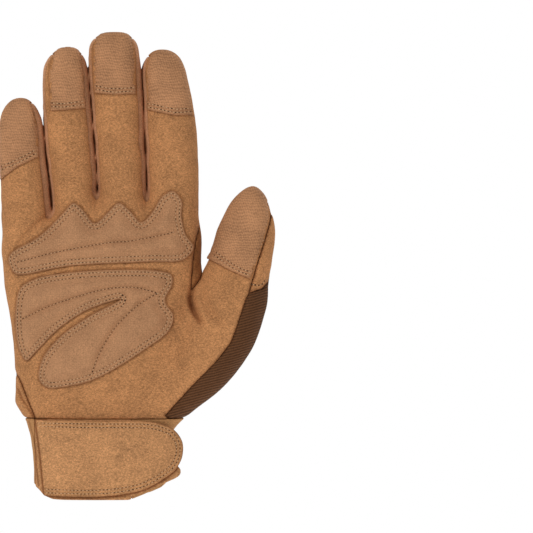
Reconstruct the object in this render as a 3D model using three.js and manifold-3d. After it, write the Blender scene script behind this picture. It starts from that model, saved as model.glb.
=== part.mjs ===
// Mechanic's work glove for a right hand, upright, fingers up, palm toward -Y.
// Lengths are in millimetres. The origin is the centre of the wrist opening.

import * as THREE from 'three';
import { mergeVertices } from 'three/addons/utils/BufferGeometryUtils.js';
import Module from 'manifold-3d';

const wasm = await Module();
wasm.setup();

// Overall sizes
const PALM_WIDTH = 103.7;
const PALM_LENGTH = 109.7;
const PALM_DEPTH = 42;
const CUFF_HEIGHT = 44.2;
const LITTLE_DEPTH = 20.5;
const RING_DEPTH = 22.5;
const MIDDLE_DEPTH = 23.5;
const INDEX_DEPTH = 23.5;
const THUMB_TURN = 32;
const CURL = 6;

// Material thicknesses and the gap kept between sewn pieces
const WALL = 1.6;
const GAP = 0.3;
const PATCH = 0.8;
const PAD_EDGE = 1.1;
const PAD_CROWN = 2.6;
const PAD_HEM = 3.4;
const QUILT = 1.2;
const TAB = 1.1;
const STRAP = 1.8;

// Half height of the side strips sewn between the fingers
const FOURCHETTE = 6.4;

// How far in front of the fingers' middle the tip patches stop
const PATCH_STOP = 3;
const INDEX_PATCH_STOP = 5.5;

// Number of sides of the rounded sections, and how square the sections are
const OUTSIDE = { palm: 32, finger: 16 };
const INSIDE = { palm: 16, finger: 10 };
const PALM_SQUARE = 2.4;
const FINGER_SQUARE = 2.5;

// Bumps lower than this are flattened in the faceted surfaces
const FLAT = 0.06;
const FLAT_LAYER = 0.1;

const HALF = PALM_WIDTH / 2;
const WRIST = CUFF_HEIGHT;
const LEAST = WALL / 2;

// Reach of the cutting solids, well past the glove
const FAR = PALM_WIDTH;
const PAST_CUFF = WALL * 3;

// Columns: height at the left and at the right (shares of the palm length above
// the wrist line), left and right edge (shares of the half palm width), depth in
// front and behind (shares of the palm depth)
const TRUNK = [
  [-0.403, -0.403, -0.66, 0.66, 0.50, 0.50],
  [-0.275, -0.275, -0.66, 0.67, 0.50, 0.50],
  [-0.133, -0.133, -0.69, 0.69, 0.50, 0.49],
  [-0.038, -0.038, -0.74, 0.77, 0.51, 0.48],
  [0.057, 0.057, -0.83, 0.88, 0.53, 0.47],
  [0.18, 0.18, -0.845, 0.94, 0.54, 0.46],
  [0.39, 0.39, -0.88, 0.98, 0.51, 0.45],
  [0.62, 0.62, -0.96, 1.01, 0.43, 0.41],
  [0.80, 0.82, -0.985, 1.00, 0.37, 0.36],
  [0.89, 0.95, -0.96, 0.98, 0.29, 0.29],
  [0.93, 1.01, -0.88, 0.92, 0.14, 0.15],
];

// Columns: height, left edge, right edge, depth (share of the finger's depth)
const FINGERS = {
  little: {
    depth: LITTLE_DEPTH,
    rows: [
      [0.66, -0.93, -0.50, 1.20],
      [0.92, -0.985, -0.50, 1.26],
      [1.05, -0.99, -0.53, 1.12],
      [1.24, -1.00, -0.565, 1.02],
      [1.37, -0.995, -0.59, 1.00],
      [1.435, -0.95, -0.615, 0.86],
      [1.468, -0.89, -0.66, 0.62],
      [1.486, -0.81, -0.72, 0.28],
    ],
  },
  ring: {
    depth: RING_DEPTH,
    rows: [
      [0.70, -0.46, -0.03, 1.20],
      [0.93, -0.465, -0.03, 1.24],
      [1.08, -0.48, -0.04, 1.10],
      [1.24, -0.52, -0.065, 1.02],
      [1.50, -0.58, -0.11, 1.00],
      [1.62, -0.575, -0.13, 0.92],
      [1.68, -0.52, -0.15, 0.74],
      [1.71, -0.46, -0.18, 0.48],
      [1.722, -0.40, -0.23, 0.22],
    ],
  },
  middle: {
    depth: MIDDLE_DEPTH,
    rows: [
      [0.72, -0.01, 0.45, 1.20],
      [0.96, -0.015, 0.46, 1.24],
      [1.13, -0.02, 0.45, 1.10],
      [1.29, -0.05, 0.435, 1.02],
      [1.53, -0.10, 0.415, 1.00],
      [1.67, -0.115, 0.40, 0.94],
      [1.74, -0.085, 0.36, 0.76],
      [1.778, -0.03, 0.31, 0.50],
      [1.792, 0.04, 0.25, 0.22],
    ],
  },
  index: {
    depth: INDEX_DEPTH,
    rows: [
      [0.72, 0.485, 0.985, 1.20],
      [0.96, 0.48, 0.99, 1.24],
      [1.13, 0.475, 0.99, 1.10],
      [1.34, 0.455, 0.97, 1.02],
      [1.48, 0.445, 0.925, 1.00],
      [1.60, 0.435, 0.87, 0.94],
      [1.665, 0.45, 0.82, 0.78],
      [1.698, 0.49, 0.77, 0.50],
      [1.713, 0.54, 0.71, 0.22],
    ],
  },
};

// Columns: across, up, forward (share of the palm depth), half width (share of the
// half palm width), half depth (share of the palm depth), share of the turn about
// the thumb's own axis
const THUMB = [
  [0.6, 0.02, 0.048, 0.203, 0.333, 0.0],
  [0.78, 0.11, 0.095, 0.274, 0.405, 0.0],
  [1.06, 0.25, 0.143, 0.316, 0.429, 0.2],
  [1.23, 0.4, 0.143, 0.351, 0.405, 0.5],
  [1.33, 0.54, 0.143, 0.347, 0.369, 0.8],
  [1.375, 0.64, 0.143, 0.328, 0.333, 1.0],
  [1.445, 0.77, 0.167, 0.293, 0.310, 1.0],
  [1.495, 0.89, 0.190, 0.274, 0.295, 1.0],
  [1.525, 0.96, 0.214, 0.235, 0.257, 1.0],
  [1.535, 1.02, 0.226, 0.166, 0.181, 1.0],
  [1.54, 1.058, 0.238, 0.089, 0.086, 1.0],
];

// Outlines seen square to the palm. Columns: across (share of the half palm
// width), up (share of the palm length above the wrist line)
const UPPER_PAD = [
  [-0.90, 0.74], [-0.87, 0.67], [-0.80, 0.65], [-0.29, 0.69], [0.50, 0.71],
  [0.85, 0.72], [0.95, 0.78], [0.87, 0.84], [0.83, 0.92], [0.83, 1.00],
  [0.74, 1.045], [0.63, 1.02], [0.52, 0.94], [0.42, 0.90], [0.32, 0.95],
  [0.20, 0.99], [0.09, 0.945], [-0.04, 0.895], [-0.14, 0.95], [-0.25, 0.99],
  [-0.36, 0.94], [-0.60, 0.83],
];
const UPPER_QUILT = [[-1.00, 0.69], [-0.40, 0.758], [0.10, 0.80], [0.60, 0.834], [1.00, 0.88]];
const LOWER_PAD = [
  [-0.83, 0.38], [-0.83, 0.50], [-0.78, 0.59], [-0.62, 0.635], [-0.39, 0.657],
  [0.10, 0.675], [0.60, 0.67], [0.73, 0.65], [0.735, 0.60], [0.665, 0.53],
  [0.75, 0.46], [0.71, 0.39], [0.50, 0.31], [-0.03, 0.16], [-0.29, 0.128],
  [-0.50, 0.12], [-0.59, 0.16], [-0.56, 0.25], [-0.39, 0.355], [-0.10, 0.455],
  [0.22, 0.535], [-0.10, 0.485], [-0.39, 0.395], [-0.62, 0.285], [-0.72, 0.245],
  [-0.79, 0.29],
];
const CRESCENT_QUILT = [[-0.90, 0.40], [-0.49, 0.502], [-0.05, 0.57], [0.33, 0.592], [0.60, 0.56]];
const LEAF_QUILT = [[-0.09, 0.13], [0.02, 0.284], [0.17, 0.40], [0.38, 0.50], [0.56, 0.545]];

const TIP_PATCHES = {
  little: [
    [-1.10, 1.06], [-0.80, 1.16], [-0.60, 1.205], [-0.595, 1.30], [-0.625, 1.40],
    [-0.67, 1.50], [-1.10, 1.55],
  ],
  ring: [
    [-0.48, 1.42], [-0.34, 1.423], [-0.13, 1.435], [-0.135, 1.60], [-0.16, 1.75],
    [-0.45, 1.78], [-0.47, 1.66], [-0.50, 1.60], [-0.49, 1.50],
  ],
  middle: [
    [-0.045, 1.505], [0.15, 1.495], [0.37, 1.50], [0.37, 1.70], [0.32, 1.85],
    [-0.02, 1.85], [-0.06, 1.70], [-0.06, 1.60],
  ],
  index: [
    [0.47, 1.428], [0.61, 1.412], [0.76, 1.398], [1.10, 1.405], [1.10, 1.70],
    [0.80, 1.80], [0.48, 1.80], [0.465, 1.60],
  ],
  thumb: [
    [1.06, 0.73], [1.32, 0.668], [1.50, 0.63], [1.58, 0.70], [1.66, 0.815],
    [1.715, 0.92], [1.71, 1.01], [1.67, 1.12], [1.20, 1.12], [1.06, 0.90],
  ],
};

// Strips between the fingers
const FOURCHETTES = {
  little_ring: [[-0.76, 0.87], [-0.76, 1.44], [-0.575, 1.44], [-0.60, 1.655], [-0.34, 1.655], [-0.27, 0.87]],
  ring_middle: [[-0.29, 0.95], [-0.34, 1.655], [-0.125, 1.655], [-0.13, 1.73], [0.15, 1.73], [0.22, 0.95]],
  middle_index: [[0.22, 0.95], [0.15, 1.73], [0.415, 1.73], [0.42, 1.655], [0.65, 1.655], [0.73, 0.95]],
};

// Caps on the back of the fingers
const CAPS = {
  little: [
    [-1.10, 1.03], [-1.00, 1.08], [-0.95, 1.123], [-0.86, 1.166], [-0.75, 1.19],
    [-0.545, 1.192], [-0.58, 1.45], [-0.62, 1.60], [-1.10, 1.60],
  ],
  ring: [
    [-0.54, 1.21], [-0.50, 1.265], [-0.40, 1.322], [-0.25, 1.358], [-0.08, 1.351],
    [-0.12, 1.60], [-0.12, 1.80], [-0.60, 1.80], [-0.575, 1.45],
  ],
  middle: [
    [-0.07, 1.362], [0.05, 1.377], [0.20, 1.365], [0.32, 1.348], [0.445, 1.322],
    [0.425, 1.60], [0.42, 1.90], [-0.12, 1.90], [-0.115, 1.60],
  ],
};

// Back of the index finger, with the strip that runs down to the thumb's fork
const INDEX_BACK = [
  [0.44, 1.33], [0.566, 1.304], [0.662, 1.292], [0.762, 1.266], [0.842, 1.223],
  [0.882, 1.161], [0.885, 1.095], [0.85, 1.005], [0.772, 0.863], [0.702, 0.758],
  [0.668, 0.673], [0.68, 0.597], [0.732, 0.509], [0.832, 0.419], [0.952, 0.358],
  [1.023, 0.34], [1.023, 0.60], [1.08, 0.75], [1.08, 1.85], [0.42, 1.85],
];
const INDEX_WEB = [[0.99, 0.88], [0.955, 0.768], [0.922, 0.673], [0.915, 0.60], [0.97, 0.60], [1.01, 0.66], [1.02, 0.74]];

// Back of the thumb: seen from the front beyond the outer seam, and from behind
const THUMB_BACK_FRONT = [
  [1.66, 1.15], [1.69, 1.05], [1.725, 0.99], [1.705, 0.90], [1.645, 0.80], [1.565, 0.68],
  [1.498, 0.566], [1.62, 0.585], [1.69, 0.62], [1.90, 0.68], [1.90, 1.15],
];
const THUMB_BACK_REAR = [
  [1.44, 1.15], [1.43, 1.05], [1.36, 0.975], [1.30, 0.90], [1.24, 0.815], [1.19, 0.73],
  [1.11, 0.66], [1.028, 0.62], [1.028, 0.312], [1.223, 0.313], [1.383, 0.351],
  [1.524, 0.445], [1.604, 0.578], [1.68, 0.66], [1.90, 0.72], [1.90, 1.15],
];

// Knitted gusset at the root of the thumb, in front and behind
const GUSSET_FRONT = [
  [1.498, 0.566], [1.464, 0.531], [1.373, 0.40], [1.323, 0.336], [1.17, 0.242],
  [0.932, 0.129], [0.665, -0.01], [0.70, -0.024], [1.10, -0.024], [1.90, 0.30],
  [1.90, 0.68], [1.69, 0.62], [1.62, 0.585],
];
const GUSSET_REAR = [
  [0.995, 0.302], [1.01, 0.24], [0.967, 0.164], [0.842, -0.024], [1.10, -0.024], [1.90, 0.20],
  [1.90, 0.72], [1.68, 0.66], [1.604, 0.578], [1.524, 0.445], [1.383, 0.351],
  [1.223, 0.313], [1.06, 0.302],
];

// Folded lips on the little finger's side of the wrist
const SIDE_FOLD = [[-1.10, 0.19], [-0.857, 0.19], [-0.80, 0.166], [-0.742, 0.104], [-0.63, -0.024], [-1.10, -0.024]];

// Wrist strap, the tab under it and the hook fastener behind its free end
const STRAP_LEFT = -0.632;
const TAB_STEP = 0.33;
const STRAP_LEAVES = 0.44;
const STRAP_OUTLINE = [
  [-0.622, -0.028], [0.00, -0.031], [0.40, -0.032], [0.561, -0.040], [0.672, -0.055],
  [0.748, -0.075], [0.807, -0.109], [0.839, -0.149], [0.832, -0.204], [0.787, -0.251],
  [0.712, -0.287], [0.511, -0.344], [0.321, -0.370], [0.00, -0.386], [-0.535, -0.384],
  [-0.575, -0.19],
];
// Space below the cuff's edge, which rises at both corners
const HEM_FRONT = [
  [-1.00, -0.30], [-0.66, -0.335], [-0.59, -0.36], [-0.54, -0.385], [-0.45, -0.401], [-0.30, -0.41],
  [0.28, -0.41], [0.45, -0.380], [0.60, -0.348], [0.70, -0.31], [1.00, -0.20], [1.00, -0.60], [-1.00, -0.60],
];
const HEM_BACK = [
  [-1.00, -0.30], [-0.66, -0.335], [-0.59, -0.37], [-0.50, -0.393], [-0.35, -0.41],
  [0.35, -0.41], [0.50, -0.388], [0.60, -0.365], [0.67, -0.335], [1.00, -0.28], [1.00, -0.60], [-1.00, -0.60],
];
const TAB_OUTLINE = [
  [-0.632, -0.036], [0.58, -0.062], [0.66, -0.10], [0.70, -0.18], [0.76, -0.235],
  [0.815, -0.268], [0.79, -0.30], [0.642, -0.332], [0.45, -0.370], [0.25, -0.394],
  [0.06, -0.403], [-0.632, -0.400],
];
const HOOK_OUTLINE = [
  [0.675, -0.085], [0.74, -0.095], [0.785, -0.13], [0.80, -0.165], [0.785, -0.205],
  [0.765, -0.222], [0.72, -0.175], [0.68, -0.095],
];

// Heights of the lines that end the palm and start the cuff
const HAND_FROM = -0.024;
const CUFF_TO = -0.027;

const across = (share) => share * HALF;
const up = (share) => WRIST + share * PALM_LENGTH;
const toPlane = (outline) => outline.map(([a, b]) => new THREE.Vector2(across(a), up(b)));

// The fingers lean a little toward the palm
function lean(z) {
  const share = Math.max(0, (z - up(0.9)) / (up(1.8) - up(0.9)));
  return -CURL * share * share;
}

function toManifold(geometry) {
  const bare = geometry.clone();
  bare.deleteAttribute('normal');
  bare.deleteAttribute('uv');
  const merged = mergeVertices(bare, 1e-4);
  const mesh = new wasm.Mesh({
    numProp: 3,
    vertProperties: new Float32Array(merged.attributes.position.array),
    triVerts: new Uint32Array(merged.index.array),
  });
  return new wasm.Manifold(mesh);
}

function signedVolume(points, faces) {
  let sum = 0;
  const cross = new THREE.Vector3();
  for (const [a, b, c] of faces) {
    sum += points[a].dot(cross.crossVectors(points[b], points[c]));
  }
  return sum;
}

function closedSolid(points, faces) {
  const turned = signedVolume(points, faces) < 0;
  const index = faces.flatMap(([a, b, c]) => (turned ? [a, c, b] : [a, b, c]));
  const geometry = new THREE.BufferGeometry();
  geometry.setAttribute('position', new THREE.Float32BufferAttribute(points.flatMap((p) => p.toArray()), 3));
  geometry.setIndex(index);
  return toManifold(geometry);
}

// Skin over a row of rings that all have the same number of points
function loft(rings) {
  const sides = rings[0].length;
  const points = rings.flat();
  const faces = [];
  for (let r = 0; r + 1 < rings.length; r += 1) {
    for (let s = 0; s < sides; s += 1) {
      const t = (s + 1) % sides;
      const a = r * sides + s;
      const b = r * sides + t;
      faces.push([a, b, b + sides], [a, b + sides, a + sides]);
    }
  }
  for (const [start, ring] of [[0, rings[0]], [(rings.length - 1) * sides, rings[rings.length - 1]]]) {
    const centre = new THREE.Vector3();
    ring.forEach((p) => centre.add(p));
    centre.divideScalar(sides);
    points.push(centre);
    const hub = points.length - 1;
    for (let s = 0; s < sides; s += 1) {
      const a = start + s;
      const b = start + ((s + 1) % sides);
      faces.push(start === 0 ? [hub, b, a] : [hub, a, b]);
    }
  }
  return closedSolid(points, faces);
}

// One point of a rounded rectangle of unit half sizes
function roundedPoint(turn, square) {
  const c = Math.cos(turn);
  const s = Math.sin(turn);
  const power = 2 / square;
  return [Math.sign(c) * Math.abs(c) ** power, Math.sign(s) * Math.abs(s) ** power];
}

function trunk(grow, overrun, sides) {
  const rings = TRUNK.map(([zl, zr, left, right, front, rear], row) => {
    const top = row >= TRUNK.length - 2 ? (row - TRUNK.length + 3) / 2 : 0;
    const middle = across((left + right) / 2);
    const wide = across((right - left) / 2) + grow;
    return Array.from({ length: sides }, (_, i) => {
      const [a, b] = roundedPoint((i / sides) * 2 * Math.PI, PALM_SQUARE);
      const share = (a + 1) / 2;
      const deep = (b < 0 ? front : rear) * PALM_DEPTH + grow;
      const z = up(zl + (zr - zl) * share) + grow * top - (row === 0 ? overrun : 0);
      return new THREE.Vector3(middle + a * wide, b * deep, z);
    });
  });
  return loft(rings);
}

function finger({ depth, rows }, grow, sides) {
  const last = rows.length - 1;
  const rings = rows.map(([height, left, right, share], row) => {
    const top = Math.max(0, 1 - (last - row) / 3);
    const middle = across((left + right) / 2);
    const wide = Math.max(LEAST, across((right - left) / 2) + grow);
    const deep = Math.max(LEAST, (depth * share) / 2 + grow);
    const z = up(height) + grow * top;
    return Array.from({ length: sides }, (_, i) => {
      const [a, b] = roundedPoint((i / sides) * 2 * Math.PI, FINGER_SQUARE);
      return new THREE.Vector3(middle + a * wide, lean(z) + b * deep, z);
    });
  });
  return loft(rings);
}

function thumb(grow, sides) {
  const path = THUMB.map(([x, z, forward]) => new THREE.Vector3(across(x), -forward * PALM_DEPTH, up(z)));
  const last = THUMB.length - 1;
  const rings = THUMB.map(([, , , halfWidth, halfDepth, turned], row) => {
    const along = new THREE.Vector3();
    along.subVectors(path[Math.min(row + 1, last)], path[Math.max(row - 1, 0)]).normalize();
    const side = new THREE.Vector3(0, 1, 0).cross(along).normalize();
    side.applyAxisAngle(along, THREE.MathUtils.degToRad(-THUMB_TURN * turned));
    const rear = new THREE.Vector3().crossVectors(along, side).normalize();
    const top = Math.max(0, 1 - (last - row) / 2);
    const centre = path[row].clone().addScaledVector(along, grow * top);
    const wide = Math.max(LEAST, halfWidth * HALF + grow);
    const deep = Math.max(LEAST, halfDepth * PALM_DEPTH + grow);
    return Array.from({ length: sides }, (_, i) => {
      const [a, b] = roundedPoint((i / sides) * 2 * Math.PI, FINGER_SQUARE);
      return centre.clone().addScaledVector(side, a * wide).addScaledVector(rear, b * deep);
    });
  });
  return loft(rings);
}

// The whole hand shape, grown or shrunk by one thickness
function handForm(grow, overrun = 0, count = OUTSIDE) {
  let form = trunk(grow, overrun, count.palm).add(thumb(grow, count.finger));
  for (const shape of Object.values(FINGERS)) {
    form = form.add(finger(shape, grow, count.finger));
  }
  return form;
}

// Straight prism over a flat outline
const FRAMES = {
  x: [new THREE.Vector3(0, 1, 0), new THREE.Vector3(0, 0, 1), new THREE.Vector3(1, 0, 0)],
  y: [new THREE.Vector3(1, 0, 0), new THREE.Vector3(0, 0, 1), new THREE.Vector3(0, -1, 0)],
};
function prism(points, axis, from, to) {
  const ordered = THREE.ShapeUtils.isClockWise(points) ? [...points].reverse() : points;
  const geometry = new THREE.ExtrudeGeometry(new THREE.Shape(ordered), {
    depth: to - from,
    bevelEnabled: false,
    curveSegments: 1,
  });
  geometry.applyMatrix4(new THREE.Matrix4().makeBasis(...FRAMES[axis]));
  if (axis === 'x') geometry.translate(from, 0, 0);
  if (axis === 'y') geometry.translate(0, to, 0);
  return toManifold(geometry);
}

// Slice of space that follows the lean of the fingers
function slab(front, rear) {
  const heights = [-2 * PAST_CUFF, up(0.9), up(1.1), up(1.3), up(1.5), up(1.7), up(1.95)];
  const ahead = heights.map((z) => new THREE.Vector2(lean(z) + front, z));
  const behind = heights.map((z) => new THREE.Vector2(lean(z) + rear, z));
  return prism([...ahead, ...behind.reverse()], 'x', -FAR, FAR * 1.2);
}

// Outline moved outward by a distance, inward when it is negative
function moved(points, distance) {
  const ordered = THREE.ShapeUtils.isClockWise(points) ? [...points].reverse() : points;
  return ordered.map((p, i) => {
    const before = ordered[(i + ordered.length - 1) % ordered.length];
    const after = ordered[(i + 1) % ordered.length];
    const one = p.clone().sub(before).normalize();
    const two = after.clone().sub(p).normalize();
    const normal = new THREE.Vector2(one.y + two.y, -one.x - two.x).normalize();
    const spread = Math.max(0.6, normal.dot(new THREE.Vector2(one.y, -one.x)));
    return p.clone().addScaledVector(normal, distance / spread);
  });
}

// Outline moved inward, without the points that a tight bend would fold over
function inset(points, distance) {
  const nearest = (p) => Math.min(...points.map((a, i) => {
    const b = points[(i + 1) % points.length];
    const side = b.clone().sub(a);
    const share = THREE.MathUtils.clamp(p.clone().sub(a).dot(side) / side.lengthSq(), 0, 1);
    return p.distanceTo(a.clone().addScaledVector(side, share));
  }));
  return moved(points, -distance).filter((p) => nearest(p) > distance * 0.93);
}

function rounded(points, steps) {
  const path = points.map((p) => new THREE.Vector3(p.x, p.y, 0));
  const curve = new THREE.CatmullRomCurve3(path, true, 'centripetal');
  const count = points.length * steps;
  return Array.from({ length: count }, (_, i) => {
    const p = curve.getPoint(i / count);
    return new THREE.Vector2(p.x, p.y);
  });
}

// Narrow band along a line, for the sewn grooves of the pads
function band(line, width) {
  const path = toPlane(line);
  const offset = path.map((p, i) => {
    const a = path[Math.max(i - 1, 0)];
    const b = path[Math.min(i + 1, path.length - 1)];
    const d = b.clone().sub(a).normalize();
    return new THREE.Vector2(-d.y, d.x).multiplyScalar(width / 2);
  });
  const one = path.map((p, i) => p.clone().add(offset[i]));
  const two = path.map((p, i) => p.clone().sub(offset[i]));
  return prism([...one, ...two.reverse()], 'y', -FAR, 0);
}

const inFront = (outline, grow = 0) =>
  prism(moved(toPlane(outline), grow), 'y', -FAR, FAR).intersect(slab(-FAR, grow));
const behind = (outline, grow = 0) =>
  prism(moved(toPlane(outline), grow), 'y', -FAR, FAR).intersect(slab(-grow, FAR));
const between = (outline, grow = 0) =>
  prism(moved(toPlane(outline), grow), 'y', -FAR, FAR).intersect(slab(-FOURCHETTE - grow, FOURCHETTE + grow));

// Sheet that lies on the front of the cuff and runs off straight at its free end
function cuffSheet(near, far) {
  const stations = 15;
  const heights = [-0.42, -0.275, -0.133, -0.038, 0.0];
  const from = STRAP_LEFT - 0.01;
  const to = 0.92;
  const centre = (v) => {
    const next = TRUNK.findIndex((row) => row[0] >= v);
    const high = TRUNK[Math.max(next, 1)];
    const low = TRUNK[Math.max(next, 1) - 1];
    const t = Math.min(1, Math.max(0, (v - low[0]) / (high[0] - low[0])));
    const mix = (k) => low[k] + (high[k] - low[k]) * t;
    return { left: across(mix(2)), right: across(mix(3)), front: mix(4) * PALM_DEPTH };
  };
  const surface = (x, form) => {
    const middle = (form.left + form.right) / 2;
    const wide = (form.right - form.left) / 2;
    const share = Math.min(0.995, Math.abs(x - middle) / wide);
    return -form.front * (1 - share ** PALM_SQUARE) ** (1 / PALM_SQUARE);
  };
  const layer = (offset) => heights.map((v) => {
    const form = centre(v);
    const leave = across(STRAP_LEAVES);
    const slope = (surface(leave, form) - surface(leave - 0.5, form)) / 0.5;
    const place = (x) => (x <= leave ? surface(x, form) : surface(leave, form) + slope * (x - leave));
    return Array.from({ length: stations }, (_, i) => {
      const x = across(from + (to - from) * (i / (stations - 1)) ** 0.85);
      const d = new THREE.Vector2(0.4, place(x + 0.2) - place(x - 0.2)).normalize();
      return new THREE.Vector3(x + d.y * offset, place(x) - d.x * offset, up(v));
    });
  });
  const outer = layer(far);
  const inner = layer(near);
  const rings = outer.map((row, r) => [...row, ...[...inner[r]].reverse()]);
  const sides = rings[0].length;
  const points = rings.flat();
  const faces = [];
  for (let r = 0; r + 1 < rings.length; r += 1) {
    for (let s = 0; s < sides; s += 1) {
      const t = (s + 1) % sides;
      faces.push([r * sides + s, r * sides + t, (r + 1) * sides + t]);
      faces.push([r * sides + s, (r + 1) * sides + t, (r + 1) * sides + s]);
    }
  }
  for (let s = 0; s + 1 < stations; s += 1) {
    const a = s;
    const b = s + 1;
    const c = sides - 2 - s;
    const d = sides - 1 - s;
    const lid = (rings.length - 1) * sides;
    faces.push([a, c, b], [a, d, c]);
    faces.push([lid + a, lid + b, lid + c], [lid + a, lid + c, lid + d]);
  }
  return closedSolid(points, faces);
}

// Pad with a thin hem, a raised crown and sewn grooves across it
function pad(outline, grooves) {
  const edge = toPlane(outline);
  const hem = PAD_FORM.hem.intersect(prism(rounded(edge, 2), 'y', -FAR, 0));
  let crown = PAD_FORM.crown.intersect(prism(inset(edge, PAD_HEM), 'y', -FAR, 0));
  for (const line of grooves) {
    crown = crown.subtract(band(line, QUILT * 2));
  }
  return hem.add(crown);
}

const outer = handForm(0);
const inner = handForm(-WALL, PAST_CUFF, INSIDE);
const lifted = handForm(GAP);
const shell = outer.subtract(inner);
const PAD_FORM = {
  hem: handForm(GAP + PAD_EDGE).subtract(lifted),
  crown: handForm(GAP + PAD_CROWN).subtract(lifted),
};
const patchLayer = handForm(GAP + PATCH).subtract(lifted);

// Space above the wrist line and below it
const square = (low, high) => [new THREE.Vector2(-FAR, low), new THREE.Vector2(FAR * 1.2, low),
  new THREE.Vector2(FAR * 1.2, high), new THREE.Vector2(-FAR, high)];
const handSpace = prism(square(up(HAND_FROM), up(2.0)), 'y', -FAR, FAR);
const cuffSpace = prism(square(-PAST_CUFF, up(CUFF_TO)), 'y', -FAR, FAR);
const skin = shell.intersect(handSpace);

const pieces = {};
const taken = [];
function sew(name, region, grown) {
  let solid = skin.intersect(region);
  for (const other of taken) {
    solid = solid.subtract(other);
  }
  pieces[name] = solid;
  taken.push(grown);
}
function sewOn(name, make) {
  sew(name, make(0), make(GAP));
}

for (const [name, outline] of Object.entries(FOURCHETTES)) {
  sewOn(`fourchette_${name}`, (g) => between(outline, g));
}
for (const [name, outline] of Object.entries(CAPS)) {
  sewOn(`${name}_cap`, (g) => behind(outline, g));
}
sewOn('index_back', (g) => behind(INDEX_BACK, g).add(inFront(INDEX_WEB, g)));
sewOn('thumb_back', (g) => inFront(THUMB_BACK_FRONT, g).add(behind(THUMB_BACK_REAR, g)));
sewOn('thumb_gusset', (g) => inFront(GUSSET_FRONT, g).add(behind(GUSSET_REAR, g)));
sewOn('side_fold', (g) => inFront(SIDE_FOLD, g));

// The thumb's front reaches round its inner side as far as the inner seam
const THUMB_INNER = [
  [1.50, 1.20], [1.44, 1.15], [1.43, 1.05], [1.36, 0.975], [1.30, 0.90], [1.24, 0.815], [1.19, 0.73],
  [1.11, 0.66], [1.05, 0.625], [1.04, 0.70], [1.09, 0.85], [1.15, 1.20],
];
// The palm wraps round the little finger's side onto the back
const SIDE_WRAP = [
  [-1.10, 0.85], [-0.987, 0.829], [-0.922, 0.787], [-0.866, 0.73], [-0.814, 0.664], [-0.784, 0.561],
  [-0.80, 0.46], [-0.827, 0.386], [-0.857, 0.339], [-0.90, 0.318], [-1.10, 0.31],
];
sewOn('palm_panel', (g) => slab(-FAR, g).add(behind(THUMB_INNER, g)).add(behind(SIDE_WRAP, g)));
sewOn('back_panel', () => slab(-1, FAR));

for (const [name, outline] of Object.entries(TIP_PATCHES)) {
  const region = prism(toPlane(outline), 'y', -FAR, FAR);
  const stop = { thumb: 0, index: INDEX_PATCH_STOP }[name] ?? PATCH_STOP;
  const limit = slab(-FAR, -stop);
  pieces[`${name}_tip_patch`] = patchLayer.intersect(region).intersect(limit);
}
pieces.knuckle_pad = pad(UPPER_PAD, [UPPER_QUILT]);
pieces.palm_pad = pad(LOWER_PAD, [CRESCENT_QUILT, LEAF_QUILT]);

// Cuff: elastic round the back and sides, a front layer, the strap and its fastener
const block = (left, right, low, high) => [[left, low], [right, low], [right, high], [left, high]];
const frontSpace = prism(toPlane(block(STRAP_LEFT, TAB_STEP, -0.403, -0.036)), 'y', -FAR, 0);
const frontCut = block(STRAP_LEFT - GAP / HALF, TAB_STEP + GAP / HALF, -0.45, 0.0);
const frontSpaceGrown = prism(toPlane(frontCut), 'y', -FAR, 0);
const tabSheet = cuffSheet(GAP, GAP + TAB).intersect(prism(toPlane(TAB_OUTLINE), 'y', -FAR, FAR));
const hem = prism(toPlane(HEM_FRONT), 'y', -FAR, 0).add(prism(toPlane(HEM_BACK), 'y', -GAP, FAR));
pieces.cuff_front = cuffSheet(-WALL, GAP + TAB).intersect(frontSpace).subtract(hem).add(tabSheet);
pieces.cuff_elastic = shell.intersect(cuffSpace).subtract(frontSpaceGrown).subtract(hem);
pieces.wrist_strap = cuffSheet(2 * GAP + TAB, 2 * GAP + TAB + STRAP)
  .intersect(prism(toPlane(STRAP_OUTLINE), 'y', -FAR, FAR));
pieces.hook_patch = cuffSheet(GAP + 0.1, GAP + TAB)
  .intersect(prism(toPlane(HOOK_OUTLINE), 'y', -FAR, FAR));

// Colours of the materials
const SUEDE = new THREE.MeshStandardMaterial({ color: 0xb37e53, roughness: 0.92, metalness: 0 });
const PALE_SUEDE = new THREE.MeshStandardMaterial({ color: 0xc08c5f, roughness: 0.92, metalness: 0 });
const PAD_SUEDE = new THREE.MeshStandardMaterial({ color: 0xa87955, roughness: 0.95, metalness: 0 });
const PATCH_GRIP = new THREE.MeshStandardMaterial({ color: 0xa47552, roughness: 0.9, metalness: 0 });
const SIDE_CLOTH = new THREE.MeshStandardMaterial({ color: 0xab7b5a, roughness: 0.9, metalness: 0 });
const KNIT = new THREE.MeshStandardMaterial({ color: 0x6f4d32, roughness: 0.95, metalness: 0 });
const ELASTIC = new THREE.MeshStandardMaterial({ color: 0xb08053, roughness: 0.9, metalness: 0 });
const STRAP_CLOTH = new THREE.MeshStandardMaterial({ color: 0xba865d, roughness: 0.9, metalness: 0 });
const HOOKS = new THREE.MeshStandardMaterial({ color: 0x3a2b20, roughness: 0.85, metalness: 0 });
const MATERIALS = {
  palm_panel: SUEDE,
  back_panel: KNIT,
  thumb_gusset: KNIT,
  thumb_back: SUEDE,
  index_back: PALE_SUEDE,
  little_cap: PALE_SUEDE,
  ring_cap: PALE_SUEDE,
  middle_cap: PALE_SUEDE,
  side_fold: SUEDE,
  knuckle_pad: PAD_SUEDE,
  palm_pad: PAD_SUEDE,
  cuff_elastic: ELASTIC,
  cuff_front: STRAP_CLOTH,
  wrist_strap: STRAP_CLOTH,
  hook_patch: HOOKS,
};
const material = (name) => {
  if (MATERIALS[name]) return MATERIALS[name];
  return name.endsWith('_tip_patch') ? PATCH_GRIP : SIDE_CLOTH;
};

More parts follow.
